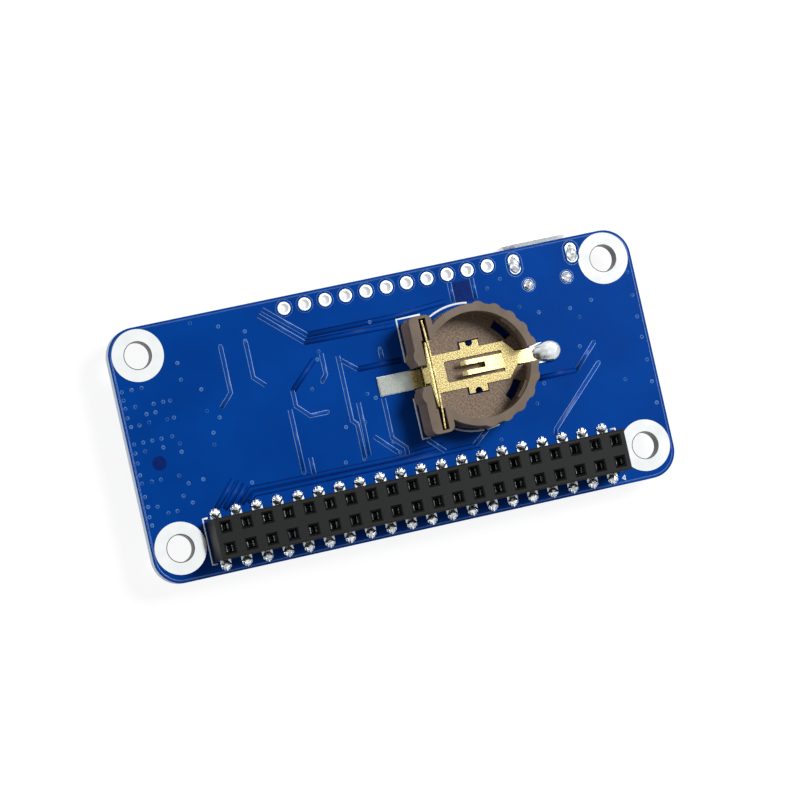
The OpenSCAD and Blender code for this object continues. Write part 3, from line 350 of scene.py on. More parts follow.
def gold_plated_spring_sheet():
    """Rolled spring sheet under gold plate: pale yellow, satin, with the sheet's fine pebbling.
    The tab that is soldered to the board was dipped in tin, and is smooth and grey up to the moulding."""
    material, tree, shader = finish("gold_plated_spring_sheet", Metallic=1.0, Roughness=0.3)
    pebble = grain(tree, 0.14, 4.0)
    gold = mottled(tree, pebble, "#8d7b49", "#c2b584")
    wetting = spread(tree, grain(tree, 0.6, 2.0), 0.0, 1.0, -0.3 * MM, 0.3 * MM)
    along = calc(tree, "ADD", split(tree, own_place(tree))["X"], wetting)
    block_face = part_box("cell_holder")[0].x
    dipped = spread(tree, along, block_face - 0.1 * MM, block_face + 0.3 * MM, 1.0, 0.0)
    colour(tree, shader, blend(tree, dipped, gold, linear("#8d938e")))
    roughen(tree, shader, spread(tree, pebble, 0.3, 0.7, 0.22, 0.4))
    plain = spread(tree, dipped, 0.0, 1.0, 1.0, 0.2)
    relief(tree, shader, calc(tree, "MULTIPLY", pebble, plain), 0.012)
    return material


def brown_moulded_polyester():
    """Heat-proof polyester, injection moulded: grey-brown, smooth and faintly glossy on the rim, grainy on the
    floor."""
    material, tree, shader = finish("brown_moulded_polyester", IOR=1.55, Specular_IOR_Level=0.16)
    floor = spread(tree, split(tree, own_place(tree))["Z"], 0.95 * MM, 1.3 * MM, 1.0, 0.0)
    spark = grain(tree, 0.22, 4.0)
    rim = mottled(tree, grain(tree, 2.5), "#6d5f53", "#7a6b5e")
    pitted = mottled(tree, spark, "#63544a", "#94806c")
    colour(tree, shader, blend(tree, floor, rim, pitted))
    roughen(tree, shader, spread(tree, spark, 0.3, 0.7, 0.36, 0.56))
    relief(tree, shader, spark, 0.02)
    return material


def nickel_plated_stamped_steel():
    """Stamped steel strip under satin nickel: warm pale grey, softened by fine drawing lines."""
    return one_grain_finish("nickel_plated_stamped_steel", 0.25, "#dedbd7", "#ebe9e6", 0.002, detail=4.0,
                            rough=(0.42, 0.54), Metallic=1.0, Roughness=0.48)


def drawn_tinplate():
    """Deep-drawn tinplate: dull silver with a satin, slightly wavy face."""
    material, tree, shader = finish("drawn_tinplate", Metallic=1.0, Roughness=0.38)
    wave = grain(tree, 1.6)
    colour(tree, shader, mottled(tree, wave, "#b3b6b7", "#c6c9ca"))
    roughen(tree, shader, spread(tree, grain(tree, 0.25), 0.3, 0.7, 0.32, 0.46))
    relief(tree, shader, wave, 0.006)
    return material


def green_solder_mask():
    """Green mask on the receiver's own thin laminate: glossy, a little lighter where copper lies under it."""
    return one_grain_finish("green_solder_mask", 1.2, "#14492f", "#1b5a3b", 0.006, detail=2.0, reach=(0.45, 0.55),
                            Roughness=0.32, IOR=1.5)


def ivory_liquid_crystal_polymer():
    """Ivory polymer, moulded thin: matt and faintly streaked along the flow."""
    return one_grain_finish("ivory_liquid_crystal_polymer", 0.4, "#dcd3bd", "#ece6d6", 0.008, Roughness=0.55, IOR=1.6)


def moulded_chip_epoxy():
    """Silica-filled epoxy: charcoal, matt and finely pitted."""
    return one_grain_finish("moulded_chip_epoxy", 0.1, "#242628", "#34373a", 0.01, detail=4.0,
                            Roughness=0.62, IOR=1.55)


def black_resistor_glaze():
    """Black glass glaze printed on a resistor: shiny and slightly domed in places."""
    return one_grain_finish("black_resistor_glaze", 0.5, "#161718", "#242627", 0.02, detail=2.0,
                            Roughness=0.22, IOR=1.5)


def fired_capacitor_ceramic():
    """Fired ceramic: tan, matt, with tiny dark grains."""
    return one_grain_finish("fired_capacitor_ceramic", 0.12, "#95724f", "#b28c66", 0.01, detail=4.0,
                            Roughness=0.6, IOR=1.6)


def white_lamp_foot():
    """White glass-filled foot of a lamp: matt, with fine specks."""
    return one_grain_finish("white_lamp_foot", 0.15, "#dcd9cc", "#efede4", 0.006, Roughness=0.5, IOR=1.5)


def clear_lamp_resin():
    """Cast resin over a lamp: pale and clear, with a soft moulded surface."""
    return one_grain_finish("clear_lamp_resin", 0.3, "#e2ead0", "#f2f5e6", 0.008,
                            Roughness=0.2, IOR=1.53, Transmission_Weight=0.55)


BOARD_MASK = blue_printed_solder_mask()
TRACK_MASK = mask_over_copper()
VIA_MASK = mask_over_filled_hole()
RIM_MASK = mask_thinned_on_the_rim()
GAP_MASK = mask_over_bare_laminate()
LEGEND = white_legend_ink()
TIN = hot_air_levelled_tin()
HOLE_TIN = tin_round_a_drilled_hole()
SOLDER = reflowed_solder()
HAND_SOLDER = hand_fed_solder()
NYLON = black_glass_filled_nylon()
CONTACT_GOLD = gold_flashed_contact()
FORK_TIN_IN_PAINTED_SHADE = tin_fork_painted_in_shade()
SPRING_GOLD = gold_plated_spring_sheet()
HOLDER_BROWN = brown_moulded_polyester()
NICKEL = nickel_plated_stamped_steel()
CAN = drawn_tinplate()
GREEN_MASK = green_solder_mask()
IVORY = ivory_liquid_crystal_polymer()
CHIP_EPOXY = moulded_chip_epoxy()
RESISTOR_GLAZE = black_resistor_glaze()
CERAMIC = fired_capacitor_ceramic()
LAMP_FOOT = white_lamp_foot()
LAMP_RESIN = clear_lamp_resin()

NODE_FINISH = {
    "circuit_board": BOARD_MASK,
    "mounting_rings": HOLE_TIN, "open_hole_plating": TIN, "upper_lands": TIN, "lower_lands": TIN,
    "socket_housing": NYLON, "data_port_insulator": NYLON,
    "socket_contacts_inner": FORK_TIN_IN_PAINTED_SHADE, "socket_contacts_outer": FORK_TIN_IN_PAINTED_SHADE,
    "data_port_contacts": CONTACT_GOLD, "antenna_jack_shell": CONTACT_GOLD, "antenna_jack_pin": CONTACT_GOLD,
    "status_lamp_ends": CONTACT_GOLD,
    "socket_solder": SOLDER, "cell_contact_solder": SOLDER, "data_port_solder": SOLDER, "receiver_solder": SOLDER,
    "cell_holder": HOLDER_BROWN, "cell_side_contact": SPRING_GOLD, "cell_floor_contact": SPRING_GOLD,
    "data_port_shell": NICKEL, "receiver_can": CAN, "receiver_board": GREEN_MASK, "antenna_jack_base": IVORY,
    "bridge_chip": CHIP_EPOXY, "regulator_body": CHIP_EPOXY,
    "bridge_chip_terminals": TIN, "regulator_leads": TIN, "resistor_ends": TIN, "capacitor_ends": TIN,
    "resistor_bodies": RESISTOR_GLAZE, "capacitor_bodies": CERAMIC,
    "status_lamp_feet": LAMP_FOOT, "status_lamp_lenses": LAMP_RESIN,
}
for node, material in NODE_FINISH.items():
    for place in NODES[node].material_slots:
        place.material = material


# Modelling helpers

def start_piece():
    """Leaves edit mode and deselects everything, so that the next operator acts on its own piece alone."""
    if bpy.context.object and bpy.context.object.mode != "OBJECT":
        bpy.ops.object.mode_set(mode="OBJECT")
    bpy.ops.object.select_all(action="DESELECT")


def pick(piece):
    """Selects one piece alone and makes it the active one."""
    start_piece()
    piece.select_set(True)
    bpy.context.view_layer.objects.active = piece


def keep_piece(piece, name, material):
    """Names a finished piece, gives it its finish and lets it ride on the board."""
    bpy.ops.object.mode_set(mode="OBJECT")
    bpy.ops.object.transform_apply(location=True, rotation=True, scale=True)
    piece.name = name
    piece.data.name = name
    piece.data.materials.clear()
    piece.data.materials.append(material)
    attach(piece, "root")
    return piece


def new_curve(name, dimensions):
    """An empty curve in the scene."""
    start_piece()
    piece = bpy.data.objects.new(name, bpy.data.curves.new(name, "CURVE"))
    piece.data.dimensions = dimensions
    bpy.context.scene.collection.objects.link(piece)
    return piece


def draw_line(piece, points, closed):
    """Adds a line through points in mm to a curve."""
    line = piece.data.splines.new("POLY")
    line.points.add(len(points) - 1)
    for point, (x, y) in zip(line.points, points):
        point.co = (x * MM, y * MM, 0.0, 1.0)
    line.use_cyclic_u = closed


def edit_as_mesh(piece):
    """Makes a curve a mesh, opens it in edit mode and selects all of it."""
    pick(piece)
    bpy.ops.object.convert(target="MESH")
    bpy.ops.object.mode_set(mode="EDIT")
    bpy.ops.mesh.select_all(action="SELECT")


def face_outward():
    """Selects all of the piece in edit mode and turns its faces outward."""
    bpy.ops.mesh.select_all(action="SELECT")
    bpy.ops.mesh.normals_make_consistent(inside=False)


def swept_lines(name, section, paths, base, material):
    """Raised lines on the board: one flat section in mm, swept along paths in mm and set down on a face. A path that
    ends where it starts becomes a closed ring."""
    profile = new_curve("section", "2D")
    draw_line(profile, section, True)
    piece = new_curve(name, "3D")
    piece.data.twist_mode = "Z_UP"
    piece.data.bevel_mode = "OBJECT"
    piece.data.bevel_object = profile
    piece.data.use_fill_caps = True
    for path in paths:
        closed = path[0] == path[-1]
        draw_line(piece, path[:-1] if closed else path, closed)
    edit_as_mesh(piece)
    bpy.data.objects.remove(profile)
    bpy.ops.mesh.remove_doubles(threshold=WELD)
    face_outward()
    if base < BOARD_MIDDLE:
        bpy.ops.transform.resize(value=(1, 1, -1), center_override=(0, 0, 0))
        bpy.ops.mesh.flip_normals()
    bpy.ops.transform.translate(value=(0, 0, base))
    return keep_piece(piece, name, material)


def flat_outline(points):
    """One flat face from a closed outline in mm, left in edit mode with that face selected."""
    piece = new_curve("outline", "3D")
    draw_line(piece, points, True)
    edit_as_mesh(piece)
    bpy.ops.mesh.edge_face_add()
    bpy.ops.mesh.select_mode(type="FACE")
    bpy.ops.mesh.select_all(action="SELECT")
    return piece


def raise_steps(steps):
    """Draws the selected face up in steps of a height in mm and a scale."""
    for rise, scale in steps:
        bpy.ops.mesh.extrude_region_move(TRANSFORM_OT_translate={"value": (0, 0, rise * MM)})
        bpy.ops.transform.resize(value=(scale, scale, 1))


def set_down(piece, places):
    """Puts a copy of a piece at each of its places and joins them. A place is x, y, z in metres and a turn in
    degrees."""
    copies = []
    for x, y, z, turn in places:
        pick(piece)
        bpy.ops.object.duplicate(linked=False)
        bpy.ops.transform.rotate(value=math.radians(turn), orient_axis="Z", center_override=(0, 0, 0))
        bpy.ops.transform.translate(value=(x, y, z))
        copies.append(bpy.context.object)
    start_piece()
    bpy.data.objects.remove(piece)
    for one in copies:
        one.select_set(True)
    bpy.context.view_layer.objects.active = copies[0]
    bpy.ops.object.join()
    return bpy.context.object


def smooth_piece():
    """Closes the modelled form to a smooth skin."""
    bpy.ops.object.mode_set(mode="EDIT")
    face_outward()
    bpy.ops.object.mode_set(mode="OBJECT")
    skin = bpy.context.object.modifiers.new("skin", "SUBSURF")
    skin.levels = SKIN_LEVELS
    skin.render_levels = SKIN_LEVELS
    bpy.ops.object.modifier_apply(modifier=skin.name)
    bpy.ops.object.shade_smooth()


def arc(x, y, radius, start, end, steps=20):
    """Points along an arc about (x, y), between two angles in degrees."""
    turns = [math.radians(start + (end - start) * i / steps) for i in range(steps + 1)]
    return [(x + radius * math.cos(a), y + radius * math.sin(a)) for a in turns]


# Copper tracks and tented vias under the mask, in mm on the socket side

TRACKS = [
    [(-13.3, 13.8), (-8.7, 9.8)],
    [(-13.9, 13.2), (-9.2, 9.0)],
    [(-19.15, 10.5), (-19.15, 5.0), (-20.6, 3.5)],
    [(-16.1, 10.5), (-16.1, 6.2), (-14.9, 5.0)],
    [(-7.5, 7.3), (-7.5, 4.8), (-8.1, 4.1)],
    [(-5.6, 6.6), (-5.6, -1.2), (-5.1, -1.7), (-5.1, -5.9)],
    [(-5.3, 6.0), (-3.6, 4.6)],
    [(-8.3, 0.4), (-10.4, 0.4), (-11.85, 1.85), (-11.85, 3.7)],
    [(-12.65, 1.6), (-12.65, -6.0)],
    [(-11.5, -4.4), (-11.5, -6.4)],
    [(-4.4, 0.7), (-4.4, -1.6), (-4.5, -5.6)],
    [(-3.4, -3.6), (-1.0, -6.0)],
    [(-1.3, 0.6), (-1.3, -4.2), (0.1, -5.6), (0.1, -6.5)],
    [(-0.4, 6.3), (-0.4, 5.3)],
    [(9.64, 12.4), (9.64, 10.1)],
    [(12.45, 12.4), (12.45, 9.9)],
    [(25.6, 1.9), (22.7, -0.95)],
    [(25.6, -0.6), (18.6, -7.3), (18.4, -8.0)],
    [(2.9, -5.3), (4.7, -7.1)],
    [(8.3, -7.1), (10.3, -5.6)],
]
# Tracks that run between wide gaps in the copper
SUNK_TRACKS = [
    [(-8.7, 9.8), (2.0, 9.8), (8.6, 10.3)],
    [(-9.2, 9.0), (1.9, 8.8)],
    [(-3.6, 4.6), (1.9, 4.6)],
    [(-20.8, -8.0), (-19.3, -6.5), (-1.6, -6.65), (4.6, -6.3)],
    [(-19.9, -8.1), (-19.0, -7.2), (-1.2, -7.3), (9.0, -7.2)],
    [(-23.9, -8.0), (-21.1, -5.0)],
    [(-22.9, -8.2), (-20.3, -5.4)],
    [(-21.8, -8.1), (-19.8, -5.9)],
    [(22.7, -0.95), (17.6, -0.95)],
    [(-8.4, 6.9), (-11.8, 3.7)],
]
VIAS = [
    (-19.15, 10.6), (-16.1, 10.6), (-18.9, 12.9), (-15.9, 11.7), (-0.9, 9.75), (-8.1, 6.7), (-7.75, 7.6),
    (-8.1, 4.0), (-9.5, 3.4), (-5.3, 6.0), (-5.6, 2.6), (-8.25, 0.4), (-0.4, 6.4), (-3.1, 1.5), (-2.2, 0.85),
    (-4.1, -1.7), (-6.5, -1.8), (-5.2, -5.9), (-12.7, -6.0), (-7.45, -5.85), (-1.2, -3.7), (-1.25, -4.65),
    (-0.75, -6.05), (9.75, 10.05), (25.6, 1.9), (25.6, -0.6), (18.4, -1.7), (17.5, 7.85), (19.7, 6.75),
    (23.6, 6.45), (24.5, 5.2), (31.6, 6.45), (31.6, 3.8), (31.6, 1.3), (31.6, -1.5), (31.6, -4.2), (31.6, -6.8),
    (28.4, -3.25), (17.0, -3.85), (11.7, -7.15), (-30.6, 7.7), (-29.4, 7.7), (-24.6, 7.7), (-28.4, 5.6),
    (-27.25, 5.6), (-26.4, 5.6), (-31.6, 3.5), (-30.6, 3.5), (-29.4, 3.6), (-27.25, 3.5), (-26.4, 3.55),
    (-31.7, 1.45), (-30.6, 1.45), (-29.5, 1.45), (-28.4, 1.45), (-27.1, 1.45), (-26.4, 0.45), (-26.4, -0.55),
    (-22.5, 6.1), (-22.4, 3.5), (-22.2, 0.85), (-22.4, -0.55), (-22.1, 13.95), (-19.0, -5.8), (-31.7, -6.0),
    (-31.7, -8.2), (-27.3, -5.6), (-26.4, -6.6), (-31.8, 7.7), (-31.8, 6.7), (-31.8, 5.7), (-31.8, 4.6),
    (-30.6, 5.7), (-29.5, 4.6), (-28.4, 4.6), (-31.8, 0.4), (-31.8, -0.8), (-30.6, 0.4), (-28.4, 0.4),
    (-31.8, -2.2), (-31.8, -3.2), (-30.6, -3.2), (-29.5, -3.2), (-27.3, -3.2), (-26.4, -4.3), (-31.8, -4.8),
    (-30.6, -6.2), (-29.5, -7.2), (-28.4, -7.2), (-31.8, -7.2), (-21.1, 2.45), (-24.6, -4.2), (-24.6, 9.7),
    (15.9, 11.6), (14.1, 10.8), (26.4, 6.9), (23.75, 1.75), (31.6, 9.25),
]
TRACK_SECTION = [(-0.3, -0.01), (0.3, -0.01), (0.22, 0.025), (-0.22, 0.025)]
GAP_SECTION = [(-0.36, -0.01), (0.36, -0.01), (0.34, 0.006), (-0.34, 0.006)]
SUNK_SECTION = [(-0.19, -0.01), (0.19, -0.01), (0.18, 0.009), (-0.18, 0.009)]
swept_lines("copper_tracks", TRACK_SECTION, TRACKS, BOARD_TOP, TRACK_MASK)
swept_lines("track_gaps", GAP_SECTION, SUNK_TRACKS, BOARD_TOP, GAP_MASK)
swept_lines("sunk_tracks", SUNK_SECTION, SUNK_TRACKS, BOARD_TOP, BOARD_MASK)

# A closed hole in mm: radius of its copper, the width of the ring on top, and how its shoulder rises and its dimple
# sinks, each with the scale that it ends at
VIA_R = 0.23
VIA_RING = 0.06
VIA_SHOULDER = (0.035, 0.72)
VIA_DIMPLE = (-0.04, 0.6)


def tented_vias():
    """Drilled holes closed by the mask: a low ring of copper with a dimple on both faces, modelled once and copied."""
    start_piece()
    bpy.ops.mesh.primitive_circle_add(vertices=16, radius=VIA_R * MM, fill_type="NGON", location=(0, 0, 0))
    bpy.ops.object.mode_set(mode="EDIT")
    bpy.ops.mesh.select_all(action="SELECT")
    raise_steps([VIA_SHOULDER])
    bpy.ops.mesh.inset(thickness=VIA_RING * MM, depth=0)
    raise_steps([VIA_DIMPLE])
    face_outward()
    bpy.ops.object.mode_set(mode="OBJECT")
    holes = set_down(bpy.context.object, [(x * MM, y * MM, BOARD_TOP, 0) for x, y in VIAS])
    upper = keep_piece(holes, "upper_vias", VIA_MASK)
    pick(upper)
    bpy.ops.object.duplicate(linked=False)
    bpy.ops.object.mode_set(mode="EDIT")
    bpy.ops.mesh.select_all(action="SELECT")
    bpy.ops.transform.resize(value=(1, 1, -1), center_override=(0, 0, BOARD_MIDDLE))
    bpy.ops.mesh.normals_make_consistent(inside=False)
    keep_piece(bpy.context.object, "lower_vias", VIA_MASK)


tented_vias()


# Rim of the board, where the copper stops short of the cut edge and the mask slopes down over its end, in mm

CORNER_R = 3.3
SHOULDER_INSET = 0.31
SHOULDER_SECTION = [(-0.09, -0.01), (0.09, -0.01), (0.09, 0.004), (-0.09, 0.034)]
EDGE_LOW, EDGE_HIGH = (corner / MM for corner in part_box("circuit_board"))


def edge_path(inset):
    """A closed path round the board, inset from its edge in mm."""
    radius = CORNER_R - inset
    left, right = EDGE_LOW.x + CORNER_R, EDGE_HIGH.x - CORNER_R
    near, far = EDGE_LOW.y + CORNER_R, EDGE_HIGH.y - CORNER_R
    path = arc(right, far, radius, 0, 90, 12) + arc(left, far, radius, 90, 180, 12)
    path += arc(left, near, radius, 180, 270, 12) + arc(right, near, radius, 270, 360, 12)
    return path + path[:1]


for face, base in (("upper", BOARD_TOP), ("lower", BOARD_UNDER)):
    swept_lines(face + "_copper_shoulder", SHOULDER_SECTION, [edge_path(SHOULDER_INSET)], base, RIM_MASK)


# Edges of the mask round the port's joints and the open holes, and patches without copper, one of them painted shade,
# in mm

def ring_path(x, y, radius, half_straight=0.0):
    """A closed path round a joint: two half circles with a straight length between them."""
    upper = arc(x, y + half_straight, radius, 0, 180, 10)
    lower = arc(x, y - half_straight, radius, 180, 360, 10)
    if not half_straight:
        upper, lower = upper[:-1], lower[:-1]
    return upper + lower + upper[:1]


# The port's legs and pegs lie alike on both sides of its middle
PORT_X = (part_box("data_port_shell")[0].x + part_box("data_port_shell")[1].x) / 2 / MM
LEG_X, LEG_Y = 3.625, 12.95
PEG_X, PEG_Y = 2.42, 10.21
LEG_PLACES = [(PORT_X + side * LEG_X, LEG_Y) for side in (-1, 1)]
PEG_PLACES = [(PORT_X + side * PEG_X, PEG_Y) for side in (-1, 1)]
# Half the straight length of a leg's land and its radius, and the radii of the mask's edges round a leg and a peg
LEG_HALF_STRAIGHT = 0.5
LEG_LAND_R = 0.78
LEG_RING_R = 0.98
PEG_RING_R = 0.84
# The row of open holes, and how far the mask's edge stays off their lands
ROW_LOW, ROW_HIGH = (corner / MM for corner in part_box("open_hole_plating"))
ROW_HOLES = 11
ROW_R = (ROW_HIGH.y - ROW_LOW.y) / 2
ROW_RING_GAP = 0.13
ROW_STEP = (ROW_HIGH.x - ROW_LOW.x - 2 * ROW_R) / (ROW_HOLES - 1)
ROW_PLACES = [(ROW_LOW.x + ROW_R + i * ROW_STEP, ROW_LOW.y + ROW_R) for i in range(ROW_HOLES)]
MASK_RINGS = [ring_path(x, y, LEG_RING_R, LEG_HALF_STRAIGHT) for x, y in LEG_PLACES]
MASK_RINGS += [ring_path(x, y, PEG_RING_R) for x, y in PEG_PLACES]
MASK_RINGS += [ring_path(x, y, ROW_R + ROW_RING_GAP) for x, y in ROW_PLACES]
LAND_RIMS = [ring_path(x, y, LEG_LAND_R, LEG_HALF_STRAIGHT) for x, y in LEG_PLACES]
LAND_RIMS += [ring_path(x, y, ROW_R) for x, y in ROW_PLACES]
# The mask laps a land's rim and stands a little over it
MASK_OVER_LAND = 0.008
RIM_COVER = ROW_HIGH.z - BOARD_TOP / MM + MASK_OVER_LAND
COVER_SECTION = [(-0.1, -0.01), (0.16, -0.01), (0.1, RIM_COVER), (-0.1, RIM_COVER)]
RING_SECTION = [(-0.06, -0.01), (0.06, -0.01), (0.02, 0.022), (-0.02, 0.022)]
swept_lines("mask_rings", RING_SECTION, MASK_RINGS, BOARD_TOP, TRACK_MASK)
swept_lines("mask_over_land_rims", COVER_SECTION, LAND_RIMS, BOARD_TOP, BOARD_MASK)

PATCH_STEPS = [(0.006, 1.0), (0.003, 0.97)]


def bare_patch(name, points):
    """A patch of board without copper under its mask."""
    piece = flat_outline(points)
    raise_steps(PATCH_STEPS)
    face_outward()
    bpy.ops.transform.translate(value=(0, 0, BOARD_TOP))
    return keep_piece(piece, name, GAP_MASK)


bare_patch("bare_ground_by_the_holes", [(9.95, 9.9), (12.15, 9.7), (12.15, 12.3), (9.95, 12.3)])
bare_patch("bare_spot", arc(-29.25, -1.3, 0.85, 0, 350, 35))
# Painted shade: a darker patch under the cell, so that the holder's windows show dark
bare_patch("painted_shade_under_cell", arc(9.95, 2.0, 6.2, 0, 352, 44))


# White printed legend, in mm on the socket side

LEGEND_LINES = [
    [(5.3, 9.4), (2.3, 9.4), (2.3, 4.2)],
    [(2.3, -0.2), (2.3, -5.1), (3.3, -5.1)],
    arc(9.9, 2.1, 7.65, 80, 118),
    arc(9.9, 2.1, 7.65, 242, 285),
    [(-25.1, -8.75), (-25.7, -8.75), (-25.7, -14.2), (-25.1, -14.2)],
    [(25.1, -8.75), (25.75, -8.75), (25.75, -9.6)],
    [(25.3, -14.75), (25.65, -14.5), (25.65, -15.0), (25.3, -14.75)],
]
LEGEND_SECTION = [(-0.12, -0.01), (0.12, -0.01), (0.11, 0.02), (-0.11, 0.02)]
swept_lines("legend_lines", LEGEND_SECTION, LEGEND_LINES, BOARD_TOP, LEGEND)


# Tracks and legend on the parts side, in mm

LAMP_X = [-24.0, -21.2, -18.4, -15.6]
PARTS_TRACKS = [[(x, 11.4), (x, 10.2)] for x in LAMP_X] + [[(x, 13.1), (x, 14.0)] for x in LAMP_X] + [
    [(-24.0, 8.4), (-24.0, 5.0), (-22.6, 3.6), (-14.0, 3.6), (-11.6, 1.2), (-11.6, 0.4)],
    [(-21.2, 8.4), (-21.2, 5.0), (-20.4, 4.2), (-13.6, 4.2), (-10.8, 1.4), (-10.8, 0.4)],
    [(-18.4, 8.4), (-18.4, 5.4), (-17.8, 4.8), (-13.2, 4.8), (-10.0, 1.6), (-10.0, 0.4)],
    [(-15.6, 8.4), (-15.6, 6.2), (-14.8, 5.4), (-12.8, 5.4), (-9.2, 1.8), (-9.2, 0.4)],
    [(-9.0, -2.3), (-10.2, -2.3)],
    [(-9.0, -4.4), (-10.2, -4.4), (-11.4, -5.6)],
    [(-9.0, -6.5), (-10.6, -6.5), (-11.4, -7.3)],
    [(-6.9, -2.3), (-6.3, -2.3)],
    [(-6.9, -4.4), (-6.3, -4.4)],
    [(-6.9, -6.5), (-6.3, -6.5)],
    [(4.3, -2.3), (5.0, -2.3)],
    [(4.3, -4.4), (5.0, -4.4)],
    [(4.3, -6.5), (5.0, -6.5)],
    [(4.3, -8.6), (5.0, -8.6)],
    [(6.9, -2.3), (9.2, -2.3), (11.3, -0.2), (11.3, 0.6), (12.0, 1.3), (14.4, 1.3)],
    [(6.9, -4.4), (9.8, -4.4), (12.0, -2.2), (12.0, 0.1), (12.6, 0.7), (14.4, 0.7)],
    [(6.9, -6.5), (10.6, -6.5), (12.7, -4.4), (12.7, -0.5), (13.3, 0.1), (14.4, 0.1)],
    [(6.9, -8.6), (11.3, -8.6), (12.2, -9.5), (12.2, -11.4)],
    [(15.15, -1.1), (15.15, -2.1)],
    [(17.25, -1.1), (17.25, -2.1)],
    [(19.35, -1.1), (19.35, -2.1)],
    [(15.15, -3.9), (15.15, -6.4), (14.0, -7.6), (14.0, -10.2)],
    [(17.25, -3.9), (17.25, -7.2), (16.5, -8.0), (16.5, -10.6)],
    [(19.35, -3.9), (19.35, -8.6), (21.2, -10.4), (21.2, -12.2)],
    [(19.9, -0.5), (20.9, -0.5)],
    [(19.9, 1.6), (20.9, 1.6)],
    [(19.9, 3.7), (20.9, 3.7)],
    [(21.0, 8.9), (21.0, 7.5), (17.7, 4.3)],
    [(21.65, 8.9), (21.65, 7.4), (18.5, 4.3)],
    [(20.35, 8.9), (20.35, 8.1), (13.4, 8.1), (12.5, 7.6)],
    [(12.5, 5.6), (12.5, 4.6), (11.6, 3.7), (8.2, 3.7), (4.6, 0.2), (4.6, -0.6)],
    [(6.7, 7.6), (6.7, 8.6), (4.2, 10.8)],
    [(8.65, 8.1), (8.65, 9.4), (6.9, 11.2)],
    [(10.55, 8.1), (10.55, 9.1), (12.0, 10.6)],
]
ANTENNA_TRACK = [[(-26.8, 0.5), (-26.0, 0.5), (-25.4, -0.5), (-19.2, -0.5), (-18.4, -1.25), (-6.4, -1.25)]]
ANTENNA_SECTION = [(-0.5, -0.01), (0.5, -0.01), (0.42, 0.025), (-0.42, 0.025)]
swept_lines("parts_side_tracks", TRACK_SECTION, PARTS_TRACKS, BOARD_UNDER, TRACK_MASK)
swept_lines("antenna_track", ANTENNA_SECTION, ANTENNA_TRACK, BOARD_UNDER, TRACK_MASK)


def bracket_pair(x, y, half_w, half_l):
    """Two short-legged brackets that close in a part from its two long sides."""
    return [[(x + side * half_w * 0.6, y + half_l), (x + side * half_w, y + half_l), (x + side * half_w, y - half_l),
             (x + side * half_w * 0.6, y - half_l)] for side in (-1, 1)]


def corner_marks(x, y, half_w, half_l, leg):
    """Four corner marks round a part."""
    return [[(x + i * (half_w - leg), y + j * half_l), (x + i * half_w, y + j * half_l),
             (x + i * half_w, y + j * (half_l - leg))] for i in (-1, 1) for j in (-1, 1)]


UPRIGHT_PARTS = [(x, y) for x in LAMP_X for y in (9.35, 12.25)]
UPRIGHT_PARTS += [(15.15, -3.0), (17.25, -3.0), (19.35, -3.0), (6.7, 6.6), (12.5, 6.6), (-24.6, 0.5), (-22.5, 0.5)]
PARTS_LEGEND = [line for x, y in UPRIGHT_PARTS for line in bracket_pair(x, y, 0.72, 1.2)]
PARTS_LEGEND += corner_marks(-1.0, -4.4, 6.9, 5.5, 1.2) + corner_marks(17.25, 1.6, 3.0, 3.0, 0.7)
PARTS_LEGEND += corner_marks(9.6, 6.6, 1.75, 1.9, 0.4) + corner_marks(-28.4, 0.5, 2.1, 1.8, 0.6)
PARTS_LEGEND += [[(17.2, 9.2), (17.2, 8.6), (26.1, 8.6), (26.1, 9.2)]]
swept_lines("parts_side_legend", LEGEND_SECTION, PARTS_LEGEND, BOARD_UNDER, LEGEND)


# Cell holder and its contacts, with the soft edges of a moulding and of stamped sheet, in mm

MOULD_EDGE = 0.1
SHEET_EDGE = 0.04
# Faces that meet at less than the first are one face, and edges sharper than the second are rounded
FLAT_ANGLE = math.radians(1.5)
SHARP_ANGLE = math.radians(35)


def softened(node, name, width_mm, material):
    """A copy of a CAD node with its sharp edges rounded a little, as a mould or a stamp leaves them."""
    piece = NODES[node].copy()
    piece.data = NODES[node].data.copy()
    piece.parent = None
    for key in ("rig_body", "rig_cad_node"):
        if key in piece:
            del piece[key]
    bpy.context.scene.collection.objects.link(piece)
    pick(piece)
    bpy.ops.object.mode_set(mode="EDIT")
    bpy.ops.mesh.select_all(action="SELECT")
    bpy.ops.mesh.remove_doubles(threshold=WELD)
    bpy.ops.mesh.dissolve_limited(angle_limit=FLAT_ANGLE)
    bpy.ops.object.mode_set(mode="OBJECT")
    bevel = piece.modifiers.new("soft_edges", "BEVEL")
    bevel.width = width_mm * MM
    bevel.segments = 2
    bevel.limit_method = "ANGLE"
    bevel.angle_limit = SHARP_ANGLE
    bpy.ops.object.modifier_apply(modifier=bevel.name)
    bpy.ops.object.shade_smooth_by_angle(angle=SMOOTH_ANGLE)
    flat_faces = piece.modifiers.new("flat_faces", "WEIGHTED_NORMAL")
    flat_faces.keep_sharp = True
    bpy.ops.object.modifier_apply(modifier=flat_faces.name)
    keep_piece(piece, name, material)
    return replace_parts(piece, node)


softened("cell_holder", "cell_holder_moulding", MOULD_EDGE, HOLDER_BROWN)
softened("cell_floor_contact", "floor_plate_sheet", SHEET_EDGE, SPRING_GOLD)
softened("cell_side_contact", "side_blade_sheet", SHEET_EDGE, SPRING_GOLD)


# The side blade's hem, in mm: sheet thickness, bow radius of the blade and steps along its free length
HEM_SHEET = 0.22
HEM_BOW = 90.0
HEM_STEPS = [-3.9 + 0.65 * i for i in range(13)]
# Its depth at the ends, how much it swells in the middle, how blunt it ends, how far it lies under the top edge, and
# how its own edges are rounded
HEM_END = 0.22
HEM_SWELL = 0.42
HEM_BLUNT = 0.4
HEM_DROP = 0.16
HEM_EDGE = 0.06
# Corners of the strap that runs back from its middle
STRAP = [(-0.64, 0.98), (-1.3, 0.9), (-1.3, -0.9), (-0.64, -0.98)]


